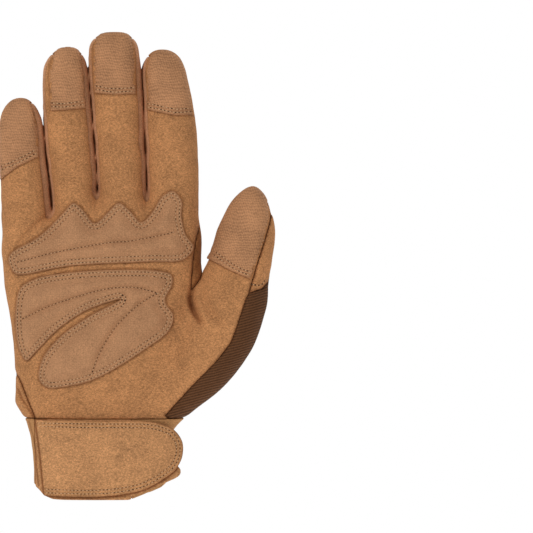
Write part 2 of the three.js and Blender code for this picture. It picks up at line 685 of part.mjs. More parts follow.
function toMesh(name, solid) {
  const result = solid.getMesh();
  const geometry = new THREE.BufferGeometry();
  const corners = new Float32Array(result.triVerts.length * 3);
  result.triVerts.forEach((v, i) => {
    for (let k = 0; k < 3; k += 1) {
      corners[i * 3 + k] = result.vertProperties[v * result.numProp + k];
    }
  });
  geometry.setAttribute('position', new THREE.BufferAttribute(corners, 3));
  geometry.computeVertexNormals();
  const mesh = new THREE.Mesh(geometry, material(name));
  mesh.name = name;
  return mesh;
}

const glove = new THREE.Group();
glove.name = 'mechanic_glove';
for (const [name, solid] of Object.entries(pieces)) {
  const layer = name.endsWith('_pad') || name.endsWith('_tip_patch');
  glove.add(toMesh(name, solid.simplify(layer ? FLAT_LAYER : FLAT)));
}

export default glove;
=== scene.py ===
import math

import bpy
import numpy as np
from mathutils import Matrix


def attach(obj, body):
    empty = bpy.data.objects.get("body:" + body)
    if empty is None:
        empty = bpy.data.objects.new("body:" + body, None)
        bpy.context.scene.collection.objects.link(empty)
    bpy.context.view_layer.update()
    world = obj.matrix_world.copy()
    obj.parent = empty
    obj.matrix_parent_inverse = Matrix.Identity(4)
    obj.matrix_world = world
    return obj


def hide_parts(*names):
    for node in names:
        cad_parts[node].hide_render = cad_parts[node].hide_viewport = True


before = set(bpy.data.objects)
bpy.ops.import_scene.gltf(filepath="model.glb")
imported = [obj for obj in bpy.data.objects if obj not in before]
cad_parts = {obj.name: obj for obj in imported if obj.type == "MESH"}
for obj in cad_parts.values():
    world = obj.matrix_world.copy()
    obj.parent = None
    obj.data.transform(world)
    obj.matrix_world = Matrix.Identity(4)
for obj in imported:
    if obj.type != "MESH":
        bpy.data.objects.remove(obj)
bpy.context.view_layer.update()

import openvdb
from mathutils import Vector

MM = 0.001

# Sizes, in millimetres
HALF = 103.7 / 2         # half the palm's width
PALM = 109.7             # height of the palm
CUFF = 44.2              # where the palm starts
DEPTH = 42.0             # depth that the shares of the trunk's table are of
WALL = 1.6               # of the shell's cloth
GAP = 0.3                # between the layers of the cuff
LAYER = 1.1              # thickness of the layer under the strap
STRAP_THICK = 1.8
LEAN = 6.0               # how far the fingers lean to the palm at a height of 1.8
TURN = math.radians(32)  # of the thumb's sections, about its length
FOURCHETTE = 6.4         # half depth of a strip between two fingers
SEAM = 0.12              # gap between two sewn panels
PX = 0.52                # one pixel of the picture
PICTURE = 533            # width of the picture, in pixels
ORIGIN = (100, 497)      # the origin's place in the picture, in pixels

# How square the sections are: 2 is an ellipse
SQUARE = 2.4
FINGER_SQUARE = 2.3
THUMB_TIP_SQUARE = 1.72


def across(u):
    """Millimetres from the middle, for a share of half the palm's width."""
    return np.asarray(u, float) * HALF


def up(v):
    """Height in millimetres, for a share of the palm's height."""
    return CUFF + np.asarray(v, float) * PALM


# ---------------------------------------------------------------- the hand form

# height, left, right, depth in front, depth behind
TRUNK = np.array([
    [-0.46, -0.66, 0.66, 0.5, 0.5],
    [-0.275, -0.66, 0.67, 0.5, 0.5],
    [-0.133, -0.69, 0.69, 0.5, 0.49],
    [-0.038, -0.74, 0.77, 0.51, 0.48],
    [0.057, -0.83, 0.88, 0.53, 0.47],
    [0.18, -0.845, 0.94, 0.54, 0.46],
    [0.39, -0.88, 0.98, 0.51, 0.45],
    [0.62, -0.96, 1.01, 0.43, 0.41],
    [0.8, -0.985, 1.00, 0.37, 0.36],
    [0.95, -0.99, 0.995, 0.34, 0.335],
    [1.1, -0.99, 0.99, 0.33, 0.33],
])

# depth; rows of height, left, right, share of the depth; then the height of the tip,
# the length of its cap and how square the cap is
FINGERS = {
    "little": (20.5, [
        [0.66, -0.93, -0.5, 1.2], [0.92, -0.985, -0.505, 1.24], [1.05, -0.99, -0.53, 1.12],
        [1.24, -1.00, -0.565, 1.03], [1.336, -1.00, -0.575, 1.00], [1.6, -0.99, -0.6, 0.98],
    ], 1.488, 16.6, 2.15),
    "ring": (22.5, [
        [0.7, -0.46, -0.03, 1.2], [0.93, -0.465, -0.035, 1.22], [1.08, -0.49, -0.042, 1.1],
        [1.24, -0.535, -0.065, 1.03], [1.384, -0.56, -0.088, 1.01], [1.526, -0.578, -0.112, 1.00],
        [1.62, -0.565, -0.12, 0.98], [1.72, -0.52, -0.12, 0.95],
    ], 1.724, 16.4, 2.6),
    "middle": (23.5, [
        [0.72, -0.01, 0.45, 1.2], [0.96, -0.018, 0.458, 1.22], [1.13, -0.022, 0.45, 1.1],
        [1.29, -0.05, 0.432, 1.03], [1.48, -0.082, 0.42, 1.01], [1.62, -0.108, 0.405, 1.00],
        [1.72, -0.112, 0.4, 0.98], [1.8, -0.108, 0.4, 0.96],
    ], 1.793, 13.6, 2.7),
    "index": (23.5, [
        [0.72, 0.485, 0.985, 1.2], [0.96, 0.482, 0.99, 1.22], [1.13, 0.475, 0.99, 1.1],
        [1.336, 0.455, 0.97, 1.03], [1.48, 0.445, 0.925, 1.00], [1.573, 0.435, 0.885, 1.00],
        [1.65, 0.43, 0.85, 0.97], [1.72, 0.43, 0.83, 0.95],
    ], 1.714, 13.0, 2.4),
}

# across, height, how far in front, half width, half depth, share of the turn
THUMB = np.array([
    [0.6, 0.02, 2, 10.5, 14.0, 0.0], [0.78, 0.11, 4, 14.2, 17.0, 0.0],
    [1.06, 0.25, 6, 16.4, 18.0, 0.2], [1.23, 0.4, 6, 18.2, 17.0, 0.5],
    [1.33, 0.54, 6, 18.0, 15.5, 0.8], [1.375, 0.64, 6, 17.0, 14.0, 1.0],
    [1.445, 0.77, 7, 15.4, 13.0, 1.0], [1.495, 0.89, 8, 14.6, 12.4, 1.0],
    [1.538, 1.062, 10, 13.9, 12.0, 1.0],
])
THUMB_CAP = 27.0


def pchip(x, xs, ys):
    """Smooth curve through a short table that never overshoots it."""
    xs = np.asarray(xs, float)
    ys = np.asarray(ys, float)
    h = np.diff(xs)
    d = np.diff(ys) / h
    m = np.zeros_like(ys)
    same = d[:-1] * d[1:] > 0
    w1 = 2 * h[1:] + h[:-1]
    w2 = h[1:] + 2 * h[:-1]
    with np.errstate(divide="ignore", invalid="ignore"):
        m[1:-1] = np.where(same, (w1 + w2) / (w1 / d[:-1] + w2 / d[1:]), 0)
    m[0], m[-1] = d[0], d[-1]
    x = np.clip(x, xs[0], xs[-1])
    i = np.clip(np.searchsorted(xs, x) - 1, 0, len(h) - 1)
    t = (x - xs[i]) / h[i]
    t2, t3 = t * t, t * t * t
    return ((2 * t3 - 3 * t2 + 1) * ys[i] + (t3 - 2 * t2 + t) * h[i] * m[i]
            + (-2 * t3 + 3 * t2) * ys[i + 1] + (t3 - t2) * h[i] * m[i + 1])


def lean(z):
    s = np.maximum(0, (z - up(0.9)) / (up(1.8) - up(0.9)))
    return -LEAN * s * s


def smoothstep(a, b, t):
    s = np.clip((t - a) / (b - a), 0, 1)
    return s * s * (3 - 2 * s)


def smin(a, b, k):
    h = np.clip(0.5 + 0.5 * (b - a) / k, 0, 1)
    return b + (a - b) * h - k * h * (1 - h)


def smax(a, b, k):
    return -smin(-a, -b, k)


def by_gradient(f, h):
    """Turns a level function into a distance near its surface."""
    gx, gy, gz = np.gradient(f, h)
    return f / np.maximum(np.sqrt(gx * gx + gy * gy + gz * gz), 0.02)


def bell(t, width):
    """One on a line, and next to nothing at twice the width from it."""
    return np.exp(-(t / width) ** 2)


def span(axis, lo, hi):
    """The stretch of a grid's axis between two places."""
    return slice(int(np.searchsorted(axis, lo)), int(np.searchsorted(axis, hi)))


def sections(table, z):
    """Middle and half width in mm at each height, and the table's further columns there."""
    rows = np.array(table)
    left, right, *more = (pchip((z - CUFF) / PALM, rows[:, 0], column) for column in rows[:, 1:].T)
    return across((left + right) / 2), across((right - left) / 2), *more


def trunk_field(x, y, z, h):
    middle, wide, front, rear = sections(TRUNK, z)
    deep = np.where(y[None, :, None] < 0, front * DEPTH, rear * DEPTH)
    top = np.interp(x, across(np.array([-0.8, -0.5, -0.2])), up(np.array([0.93, 0.94, 1.01])))
    w = np.clip((z[None, None, :] - (top[:, None, None] - 24)) / 24, 0, None)
    q = SQUARE
    r = (np.abs((x[:, None, None] - middle) / wide) ** q + np.abs(y[None, :, None] / deep) ** q
         + w ** q) ** (1 / q)
    return by_gradient(r - 1, h)


# Height up to which neighbouring fingers nearly meet behind their front seams
MEET = {("little", "ring"): 1.46, ("ring", "middle"): 1.7, ("middle", "index"): 1.69}


def meeting(name, z):
    """How far each side of a finger swells toward its neighbour, in mm."""
    v = (z - CUFF) / PALM

    def edge(who, column):
        rows = np.array(FINGERS[who][1])
        return across(pchip(v, rows[:, 0], rows[:, column]))

    out = []
    for side in (-1, 1):
        total = np.zeros(len(z))
        for (one, two), top in MEET.items():
            if (side > 0 and one == name) or (side < 0 and two == name):
                gap = edge(two, 1) - edge(one, 2)
                reach = gap / 2 if side > 0 else np.minimum(gap / 2 + 0.75, gap - 0.1)
                total = np.clip(reach, 0, 2.4) * np.clip((top - v) / 0.07, 0, 1)
        out.append(total)
    return out


def finger_field(name, x, y, z, h):
    depth, rows, tip, cap, square = FINGERS[name]
    middle, wide, share = sections(rows, z)
    deep = depth * share / 2
    w = np.clip((z[None, None, :] - (up(tip) - cap)) / cap, 0, None)
    q = FINGER_SQUARE
    y0 = y[None, :, None] - lean(z)[None, None, :]
    share = (x[:, None, None] - middle) / wide
    left, right = (t[None, None, :] for t in meeting(name, z))
    before, after = (bell(np.clip((np.abs(y0 - at) - 0.8) / 1.8, 0, 9), 1) for at in (-1.2, 3.6))
    shift = np.where(share > 0, right * before, -left * after) * smoothstep(0.2, 1.0, np.abs(share))
    s = (np.abs((x[:, None, None] - middle - shift) / wide) ** q
         + np.abs(y0 / deep) ** q) ** (1 / q)
    return by_gradient((s ** square + w ** square) ** (1 / square) - 1, h)


def thumb_path():
    """The thumb's table, filled in along its middle line."""
    t = np.linspace(0, len(THUMB) - 1, 240)
    k = np.arange(len(THUMB))
    cols = [pchip(t, k, c) for c in (across(THUMB[:, 0]), up(THUMB[:, 1]), *THUMB[:, 2:].T)]
    return np.array(cols).T


def thumb_field(x, y, z, h):
    path = thumb_path()
    gx, gz = np.meshgrid(x, z, indexing="ij")
    d2 = (gx[..., None] - path[:, 0]) ** 2 + (gz[..., None] - path[:, 1]) ** 2
    near = d2.argmin(-1)
    tangent = np.gradient(path[:, :2], axis=0)
    tangent /= np.linalg.norm(tangent, axis=1)[:, None]
    length = np.concatenate([[0], np.cumsum(np.linalg.norm(np.diff(path[:, :2], axis=0), axis=1))])
    p = path[near]
    tan = tangent[near]
    dx, dz = gx - p[..., 0], gz - p[..., 1]
    n = dx * tan[..., 1] - dz * tan[..., 0]
    along = dx * tan[..., 0] + dz * tan[..., 1] + length[near]
    a = TURN * p[..., 5]
    c, s = np.cos(a)[:, None, :], np.sin(a)[:, None, :]
    v = y[None, :, None] + p[..., 2][:, None, :]
    n = n[:, None, :]
    u1 = (c * n - s * v) / p[..., 3][:, None, :]
    v1 = (s * n + c * v) / p[..., 4][:, None, :]
    w = np.clip((along - (length[-1] - THUMB_CAP)) / THUMB_CAP, 0, None)[:, None, :]
    back = np.clip(-along / 10, 0, None)[:, None, :]
    q = SQUARE
    sec = (np.abs(u1) ** q + np.abs(v1) ** q) ** (1 / q)
    p = THUMB_TIP_SQUARE
    return by_gradient((sec ** p + w ** p + back ** p) ** (1 / p) - 1, h)


def from_px(points):
    """Across and up in millimetres, for places in the picture."""
    p = np.asarray(points, float)
    return np.stack([(p[:, 0] - ORIGIN[0]) * PX, (ORIGIN[1] - p[:, 1]) * PX], 1)


def polyline_distance(gx, gz, pts, closed=False):
    pts = np.asarray(pts, float)
    if closed:
        pts = np.vstack([pts, pts[:1]])
    best = np.full(gx.shape, 1e9)
    for (x0, z0), (x1, z1) in zip(pts[:-1], pts[1:]):
        ex, ez = x1 - x0, z1 - z0
        t = np.clip(((gx - x0) * ex + (gz - z0) * ez) / max(ex * ex + ez * ez, 1e-9), 0, 1)
        best = np.minimum(best, (gx - x0 - t * ex) ** 2 + (gz - z0 - t * ez) ** 2)
    return np.sqrt(best)


def polygon_distance(gx, gz, pts):
    """Distance to an outline, negative inside it."""
    pts = np.asarray(pts, float)
    inside = np.zeros(gx.shape, bool)
    for (x0, z0), (x1, z1) in zip(pts, np.roll(pts, -1, 0)):
        crosses = (z0 > gz) != (z1 > gz)
        with np.errstate(divide="ignore", invalid="ignore"):
            at = x0 + (gz - z0) * (x1 - x0) / (z1 - z0)
        inside ^= crosses & (gx < at)
    d = polyline_distance(gx, gz, pts, closed=True)
    return np.where(inside, -d, d)


def closed_curve(pts, steps=6):
    """Centripetal curve through the corners of a closed outline."""
    p = np.asarray(pts, float)
    out = []
    n = len(p)
    for i in range(n):
        p0, p1, p2, p3 = p[i - 1], p[i], p[(i + 1) % n], p[(i + 2) % n]
        t0 = 0.0
        t1 = t0 + np.linalg.norm(p1 - p0) ** 0.5
        t2 = t1 + np.linalg.norm(p2 - p1) ** 0.5
        t3 = t2 + np.linalg.norm(p3 - p2) ** 0.5
        for t in np.linspace(t1, t2, steps, endpoint=False):
            def between(a, b, start, end):
                return (end - t) / (end - start) * a + (t - start) / (end - start) * b

            a1, a2, a3 = between(p0, p1, t0, t1), between(p1, p2, t1, t2), between(p2, p3, t2, t3)
            out.append(between(between(a1, a2, t0, t2), between(a2, a3, t1, t3), t1, t2))
    return np.array(out)


def open_curve(pts, steps=8):
    """Smooth curve through the points of an open line."""
    p = np.asarray(pts, float)
    p = np.vstack([2 * p[0] - p[1], p, 2 * p[-1] - p[-2]])
    out = []
    for i in range(1, len(p) - 2):
        for t in np.linspace(0, 1, steps, endpoint=False):
            out.append(0.5 * (2 * p[i] + (p[i + 1] - p[i - 1]) * t
                              + (2 * p[i - 1] - 5 * p[i] + 4 * p[i + 1] - p[i + 2]) * t * t
                              + (3 * p[i] - p[i - 1] - 3 * p[i + 1] + p[i + 2]) * t ** 3))
    out.append(p[-2])
    return np.array(out)


def traced(points, steps=8):
    """Smooth curve through places in the picture."""
    return open_curve(from_px(points), steps)


# The lips of the fold at the wrist, in picture pixels
LIPS = ([(22.4, 379), (27, 386.5), (31.6, 398), (35.7, 409), (38, 416)],
        [(19, 388.6), (24.5, 399), (30.6, 408), (35.7, 416)])
# Creases: side, path in picture pixels, half width and depth in mm (minus raises a fold)
CREASES = [
    ("front", [(192.5, 290), (191, 299), (194, 310), (201, 323)], 1.3, 2.3),
    ("front", [(197, 291), (199.5, 302), (205, 315), (212, 330)], 1.7, -1.3),
    ("front", [(203, 296), (209, 307), (217, 318), (228, 327)], 1.7, 1.2),
    ("front", [(176, 300), (184, 308), (190, 320)], 2.4, 0.5),
    ("front", [(49, 216), (38, 226), (27.4, 235.7), (15, 253)], 1.6, 1.3),
    ("front", [(56, 222), (46, 231), (36, 242)], 2.4, -0.8),
    ("front", [(56, 214), (65, 205), (73, 196)], 2.2, 0.9),
    ("front", [(60, 221), (70, 212), (79, 203)], 2.0, -0.5),
    ("front", [(101, 205), (112, 200), (122, 195)], 2.2, 0.8),
    ("front", [(54, 163), (66, 160), (80, 160), (92, 163)], 2.4, 0.9),
    ("front", [(56, 174), (72, 172), (90, 174)], 4.0, -0.6),
    ("front", [(54, 192), (70, 188), (96, 194)], 3.2, 0.5),
    ("front", [(97, 141), (112, 139), (128, 140), (139, 143)], 3.0, 0.9),
    ("front", [(100, 158), (115, 156), (136, 159)], 4.2, -0.6),
    ("front", [(147, 150), (165, 149), (185, 150), (198, 153)], 2.8, 0.9),
    ("front", [(150, 165), (170, 163), (192, 166)], 4.2, -0.6),
    ("front", [(3, 206), (18, 203), (40, 207)], 2.6, 0.6),
    ("front", [(4, 220), (20, 219), (38, 222)], 4.0, -0.4),
    ("front", [(13, 388), (17, 400), (25, 413)], 2.4, -1.1),
    ("front", LIPS[0], 0.8, 1.1),
    ("front", LIPS[1], 0.8, 0.8),
    ("front", [(180, 345), (200, 352), (222, 352)], 3.0, 0.45),
    ("front", [(168, 352), (178, 372), (178, 395)], 3.0, 0.4),
    ("front", [(24, 366), (30, 384), (42, 404)], 2.2, 0.5),
    ("front", [(22, 345), (40, 372), (60, 398)], 3.5, 0.3),
    ("back", [(199, 215), (192, 225), (183, 232)], 2.0, 0.4),
    ("back", [(202, 290), (212, 312), (221, 333)], 1.8, 0.7),
]


def dents(x, z):
    """How far the cloth sinks in front and behind, over the plane of the palm."""
    gx, gz = np.meshgrid(x, z, indexing="ij")
    out = {"front": np.zeros(gx.shape), "back": np.zeros(gx.shape)}
    for side, pts, width, deep in CREASES:
        path = traced(pts)
        d = polyline_distance(gx, gz, path)
        t0 = np.hypot(gx - path[0, 0], gz - path[0, 1])
        t1 = np.hypot(gx - path[-1, 0], gz - path[-1, 1])
        fade = np.clip(np.minimum(t0, t1) / (3 * width), 0, 1)
        out[side] += deep * bell(d, width) * (0.35 + 0.65 * fade)
    for side, phase in (("front", 0.0), ("back", 1.7)):
        wave = (np.sin(gx * 0.23 + gz * 0.11 + phase) * np.sin(gz * 0.19 - gx * 0.07 + 2 * phase)
                + 0.6 * np.sin(gx * 0.41 - gz * 0.36 + phase) * np.sin(gz * 0.33 + 1.3))
        out[side] += 0.12 * wave
    return out["front"], out["back"]


def hand_distance(x, y, z, h):
    """Distance from the glove's outer surface on a grid, negative inside."""
    d = np.full((len(x), len(y), len(z)), 60.0, np.float32)
    low = span(z, -1e9, up(1.12))
    if low.stop > low.start + 2:
        d[:, :, low] = trunk_field(x, y, z[low], h)
    sx, sz = span(x, 22, 1e9), span(z, 24, up(1.2))
    if sx.stop > sx.start + 2 and sz.stop > sz.start + 2:
        t = thumb_field(x[sx], y, z[sz], h)
        d[sx, :, sz] = smin(d[sx, :, sz], t, 7.0)
    trunk = d.copy()
    for name, shape in FINGERS.items():
        rows = np.array(shape[1])
        lo, hi = across(rows[:, 1].min()), across(rows[:, 2].max())
        sx, sz = span(x, lo - 9, hi + 9), span(z, up(0.56), 1e9)
        if sx.stop <= sx.start + 2 or sz.stop <= sz.start + 2:
            continue
        f = finger_field(name, x[sx], y, z[sz], h)
        sunk = np.clip((up(0.8) - z[sz]) / (up(0.8) - up(0.57)), 0, 1)[None, None, :]
        joined = smin(trunk[sx, :, sz], f + 7 * sunk ** 2, 6 - 5.6 * sunk)
        d[sx, :, sz] = np.minimum(d[sx, :, sz], joined)
    front, back = dents(x, z)
    y0 = y[None, :, None] - lean(z)[None, None, :]
    ahead = 1 / (1 + np.exp(np.clip(y0 / 1.2, -30, 30)))
    return d + front[:, None, :] * ahead + back[:, None, :] * (1 - ahead)


# ---------------------------------------------------------------- outlines

def plan(outline):
    """An outline in millimetres, from shares of the palm's half width and height."""
    o = np.asarray(outline, float)
    return np.stack([across(o[:, 0]), up(o[:, 1])], 1)


UPPER_PAD = plan([
    [-0.9, 0.74], [-0.87, 0.67], [-0.8, 0.65], [-0.29, 0.69], [0.5, 0.71],
    [0.85, 0.72], [0.95, 0.78], [0.87, 0.84], [0.83, 0.92], [0.83, 1.00],
    [0.74, 1.045], [0.63, 1.02], [0.52, 0.94], [0.42, 0.9], [0.32, 0.95],
    [0.2, 0.99], [0.09, 0.945], [-0.04, 0.895], [-0.14, 0.95], [-0.25, 0.99],
    [-0.36, 0.94], [-0.6, 0.83]])
UPPER_QUILT = from_px([(20, 262), (60, 252), (110, 243), (130, 241.6), (160, 236), (176, 232)])
LOWER_PAD = plan([
    [-0.83, 0.38], [-0.83, 0.5], [-0.78, 0.59], [-0.62, 0.635], [-0.39, 0.657],
    [0.1, 0.675], [0.6, 0.67], [0.73, 0.65], [0.735, 0.6], [0.665, 0.53],
    [0.75, 0.46], [0.71, 0.39], [0.5, 0.31], [-0.03, 0.16], [-0.29, 0.128],
    [-0.5, 0.12], [-0.59, 0.16], [-0.56, 0.25], [-0.39, 0.355], [-0.1, 0.455],
    [0.22, 0.535], [-0.1, 0.485], [-0.39, 0.395], [-0.62, 0.285], [-0.72, 0.245],
    [-0.79, 0.29]])
CRESCENT_QUILT = from_px([
    (23.5, 319), (51, 306), (81.6, 295.7), (107, 289), (132.7, 287), (151, 290.6), (160, 293.7)])
LEAF_QUILT = from_px([(95, 370), (102, 352), (117, 327), (138, 306), (155, 295), (165, 291)])

TIP_PATCHES = {
    "little": [[-1.1, 1.06], [-0.8, 1.16], [-0.6, 1.205], [-0.595, 1.3], [-0.625, 1.4],
               [-0.67, 1.5], [-1.1, 1.55]],
    "ring": [[-0.48, 1.42], [-0.34, 1.423], [-0.13, 1.435], [-0.135, 1.6], [-0.16, 1.75],
             [-0.45, 1.78], [-0.47, 1.66], [-0.5, 1.6], [-0.49, 1.5]],
    "middle": [[-0.045, 1.505], [0.15, 1.495], [0.37, 1.5], [0.37, 1.7], [0.32, 1.85],
               [-0.02, 1.85], [-0.06, 1.7], [-0.06, 1.6]],
    "index": [[0.47, 1.428], [0.61, 1.412], [0.76, 1.398], [1.1, 1.405], [1.1, 1.7],
              [0.8, 1.8], [0.48, 1.8], [0.465, 1.6]],
    "thumb": [[1.06, 0.73], [1.32, 0.668], [1.5, 0.63], [1.58, 0.7], [1.66, 0.815],
              [1.715, 0.92], [1.71, 1.01], [1.67, 1.12], [1.2, 1.12], [1.06, 0.9]],
}
PATCH_BORDERS = {
    "little": [(1.5, 174), (20, 167), (40, 156.5)],
    "ring": [(53.6, 111), (66, 111.6), (88, 108.5)],
    "middle": [(97, 94), (115, 97), (136.6, 95.5)],
    "index": [(146, 111), (160.6, 114), (176, 117), (190, 116), (195, 115)],
    "thumb": [(213, 258), (232, 271), (250, 279)],
}
FOURCHETTES = {
    "little_ring": [
        [-0.76, 0.87], [-0.76, 1.462], [-0.575, 1.462], [-0.6, 1.69], [-0.34, 1.69], [-0.27, 0.87]],
    "ring_middle": [
        [-0.29, 0.95], [-0.34, 1.69], [-0.125, 1.69], [-0.13, 1.765], [0.15, 1.765], [0.22, 0.95]],
    "middle_index": [
        [0.22, 0.95], [0.15, 1.765], [0.418, 1.765], [0.42, 1.68], [0.65, 1.68], [0.73, 0.95]],
}
CAPS = {
    "little": [[-1.1, 1.03], [-1.00, 1.08], [-0.95, 1.123], [-0.86, 1.166], [-0.75, 1.19],
               [-0.545, 1.192], [-0.58, 1.45], [-0.62, 1.6], [-1.1, 1.6]],
    "ring": [[-0.54, 1.21], [-0.5, 1.265], [-0.4, 1.322], [-0.25, 1.358], [-0.08, 1.351],
             [-0.12, 1.6], [-0.12, 1.8], [-0.6, 1.8], [-0.575, 1.45]],
    "middle": [[-0.07, 1.362], [0.05, 1.377], [0.2, 1.365], [0.32, 1.348], [0.445, 1.322],
               [0.425, 1.6], [0.42, 1.9], [-0.12, 1.9], [-0.115, 1.6]],
}
INDEX_BACK = [
    [0.44, 1.33], [0.566, 1.304], [0.662, 1.292], [0.762, 1.266], [0.842, 1.223],
    [0.882, 1.161], [0.885, 1.095], [0.85, 1.005], [0.772, 0.863], [0.702, 0.758],
    [0.668, 0.673], [0.68, 0.597], [0.732, 0.509], [0.832, 0.419], [0.952, 0.358],
    [1.023, 0.34], [1.023, 0.6], [1.08, 0.75], [1.08, 1.85], [0.42, 1.85]]
INDEX_WEB = [
    [0.998, 0.88], [0.968, 0.82], [0.942, 0.739], [0.926, 0.649], [0.918, 0.578], [0.96, 0.6],
    [1.012, 0.635], [1.06, 0.74], [1.1, 0.9]]
THUMB_BACK_FRONT = [
    [1.66, 1.15], [1.69, 1.05], [1.725, 0.99], [1.705, 0.9], [1.645, 0.8], [1.565, 0.68],
    [1.498, 0.566], [1.62, 0.585], [1.69, 0.62], [1.9, 0.68], [1.9, 1.15]]
THUMB_BACK_REAR = [
    [1.44, 1.15], [1.43, 1.05], [1.36, 0.975], [1.3, 0.9], [1.24, 0.815], [1.19, 0.73],
    [1.11, 0.66], [1.028, 0.62], [1.028, 0.312], [1.223, 0.313], [1.383, 0.351],
    [1.524, 0.445], [1.604, 0.578], [1.68, 0.66], [1.9, 0.72], [1.9, 1.15]]
# The gusset ends at the thumb's back, on the same seam
GUSSET_FRONT = [
    [1.498, 0.566], [1.464, 0.531], [1.373, 0.4], [1.323, 0.336], [1.17, 0.242],
    [0.932, 0.129], [0.665, -0.01], [0.7, -0.024], [1.1, -0.024], [1.9, 0.3],
    *THUMB_BACK_FRONT[9:6:-1]]
GUSSET_REAR = [
    [0.995, 0.302], [1.01, 0.24], [0.967, 0.164], [0.842, -0.024], [1.1, -0.024], [1.9, 0.2],
    *THUMB_BACK_REAR[14:8:-1], [1.06, 0.302]]
SIDE_FOLD = [
    [-1.1, 0.19], [-0.857, 0.19], [-0.8, 0.166], [-0.742, 0.104], [-0.63, -0.024], [-1.1, -0.024]]
THUMB_INNER = [
    [1.5, 1.2], *THUMB_BACK_REAR[:7], [1.05, 0.625], [1.04, 0.7], [1.09, 0.85], [1.15, 1.2]]
SIDE_WRAP = [
    [-1.1, 0.85], [-0.987, 0.829], [-0.922, 0.787], [-0.866, 0.73], [-0.814, 0.664], [-0.784, 0.561],
    [-0.8, 0.46], [-0.827, 0.386], [-0.857, 0.339], [-0.9, 0.318], [-1.1, 0.31]]
STRAP_LEFT, STRAP_TOP = -0.632, -0.027  # where the layer under the strap starts
ELASTIC_STARTS = 0.33                   # where that layer ends and the elastic starts
STRAP_ROWS = plan([
    [-0.622, -0.028], [0.00, -0.031], [0.4, -0.032], [0.561, -0.04], [0.672, -0.055],
    [0.748, -0.075], [0.807, -0.109], [0.839, -0.149], [0.832, -0.204], [0.787, -0.251],
    [0.712, -0.287], [0.511, -0.344], [0.321, -0.37], [0.00, -0.386], [-0.535, -0.384],
    [-0.575, -0.19]])
TAB_ROWS = plan([
    [-0.632, -0.036], [0.58, -0.062], [0.66, -0.1], [0.7, -0.18], [0.76, -0.235],
    [0.815, -0.268], [0.79, -0.3], [0.642, -0.332], [0.45, -0.37], [0.25, -0.394],
    [0.06, -0.403], [-0.632, -0.4]])
HEM_FRONT = [
    [-1.00, -0.3], [-0.66, -0.335], [-0.59, -0.36], [-0.54, -0.385], [-0.45, -0.401], [-0.3, -0.41],
    [0.28, -0.41], [0.45, -0.38], [0.6, -0.348], [0.7, -0.31], [1.00, -0.2],
    [1.00, -0.6], [-1.00, -0.6]]
HEM_BACK = [
    [-1.00, -0.3], [-0.66, -0.335], [-0.59, -0.37], [-0.5, -0.393], [-0.35, -0.41],
    [0.35, -0.41], [0.5, -0.388], [0.6, -0.365], [0.67, -0.335], [1.00, -0.28],
    [1.00, -0.6], [-1.00, -0.6]]
HOOK = plan([
    [0.675, -0.085], [0.74, -0.095], [0.785, -0.13], [0.8, -0.165], [0.785, -0.205],
    [0.765, -0.222], [0.72, -0.175], [0.68, -0.095]])
# Fold lines on the cuff's front, in picture pixels, along which painted shade lies.
CUFF_LINES = [
    [(30.2, 420), (37.2, 447.4), (38.6, 468.4), (40.7, 483.9)],
    [(37.4, 420.7), (40.2, 440), (43.0, 458), (47.2, 489)]]

# Distance of each row of stitches from its edge, in mm
PATCH_ROWS = (1.7, 3.4)
PAD_ROWS = (1.35, 3.25)
STRAP_STITCHES = (1.6, 3.4)


# ---------------------------------------------------------------- grids and meshes

class Block:
    """A grid of places; y0 is the depth behind the surface that parts front and back."""

    def __init__(self, lo, hi, h):
        self.h = h
        self.x, self.y, self.z = (np.arange(a, b + h, h) for a, b in zip(lo, hi))
        self.gx, self.gz = np.meshgrid(self.x, self.z, indexing="ij")
        over_thumb = smoothstep(60, 74, self.x)[:, None, None] * smoothstep(96, 112, self.z)[None, None, :]
        self.y0 = self.y[None, :, None] - lean(self.z)[None, None, :] + 8 * over_thumb
        self._d = None

    @property
    def d(self):
        if self._d is None:
            self._d = hand_distance(self.x, self.y, self.z, self.h).astype(np.float32)
        return self._d

    def poly(self, outline):
        return polygon_distance(self.gx, self.gz, plan(outline) if isinstance(outline, list) else outline)

    def line(self, pts):
        return polyline_distance(self.gx, self.gz, pts)

    def ahead(self, outline, grow):
        """Space in front of the middle surface, inside an outline."""
        if outline is None:
            return self.y0 - grow
        return np.maximum(self.poly(outline)[:, None, :] - grow, self.y0 - grow)

    def behind(self, outline, grow):
        return np.maximum(self.poly(outline)[:, None, :] - grow, -self.y0 - grow)

    def between(self, outline, grow):
        """Space of a strip between two fingers, which reaches further round behind."""
        half = np.where(self.y0 < 0, FOURCHETTE - 1.0, FOURCHETTE + 1.8)
        return np.maximum(self.poly(outline)[:, None, :] - grow, np.abs(self.y0) - half - grow)


def shown(name, data):
    o = bpy.data.objects.new(name, data)
    bpy.context.scene.collection.objects.link(o)
    return o


def to_mesh(name, block, field):
    """Closed mesh of the surface where the field is zero."""
    grid = openvdb.FloatGrid(3.0)
    grid.copyFromArray(np.ascontiguousarray(np.clip(field, -3, 3).astype(np.float32)))
    points, tris, quads = grid.convertToPolygons(isovalue=0.0, adaptivity=0.0)
    lo = np.array([block.x[0], block.y[0], block.z[0]])
    points = (points * block.h + lo) * MM
    faces = [tuple(int(i) for i in f) for f in quads] + [tuple(int(i) for i in f) for f in tris]
    me = bpy.data.meshes.new(name)
    me.from_pydata([tuple(p) for p in points], [], faces)
    me.update()
    for p in me.polygons:
        p.use_smooth = True
    return shown(name, me)


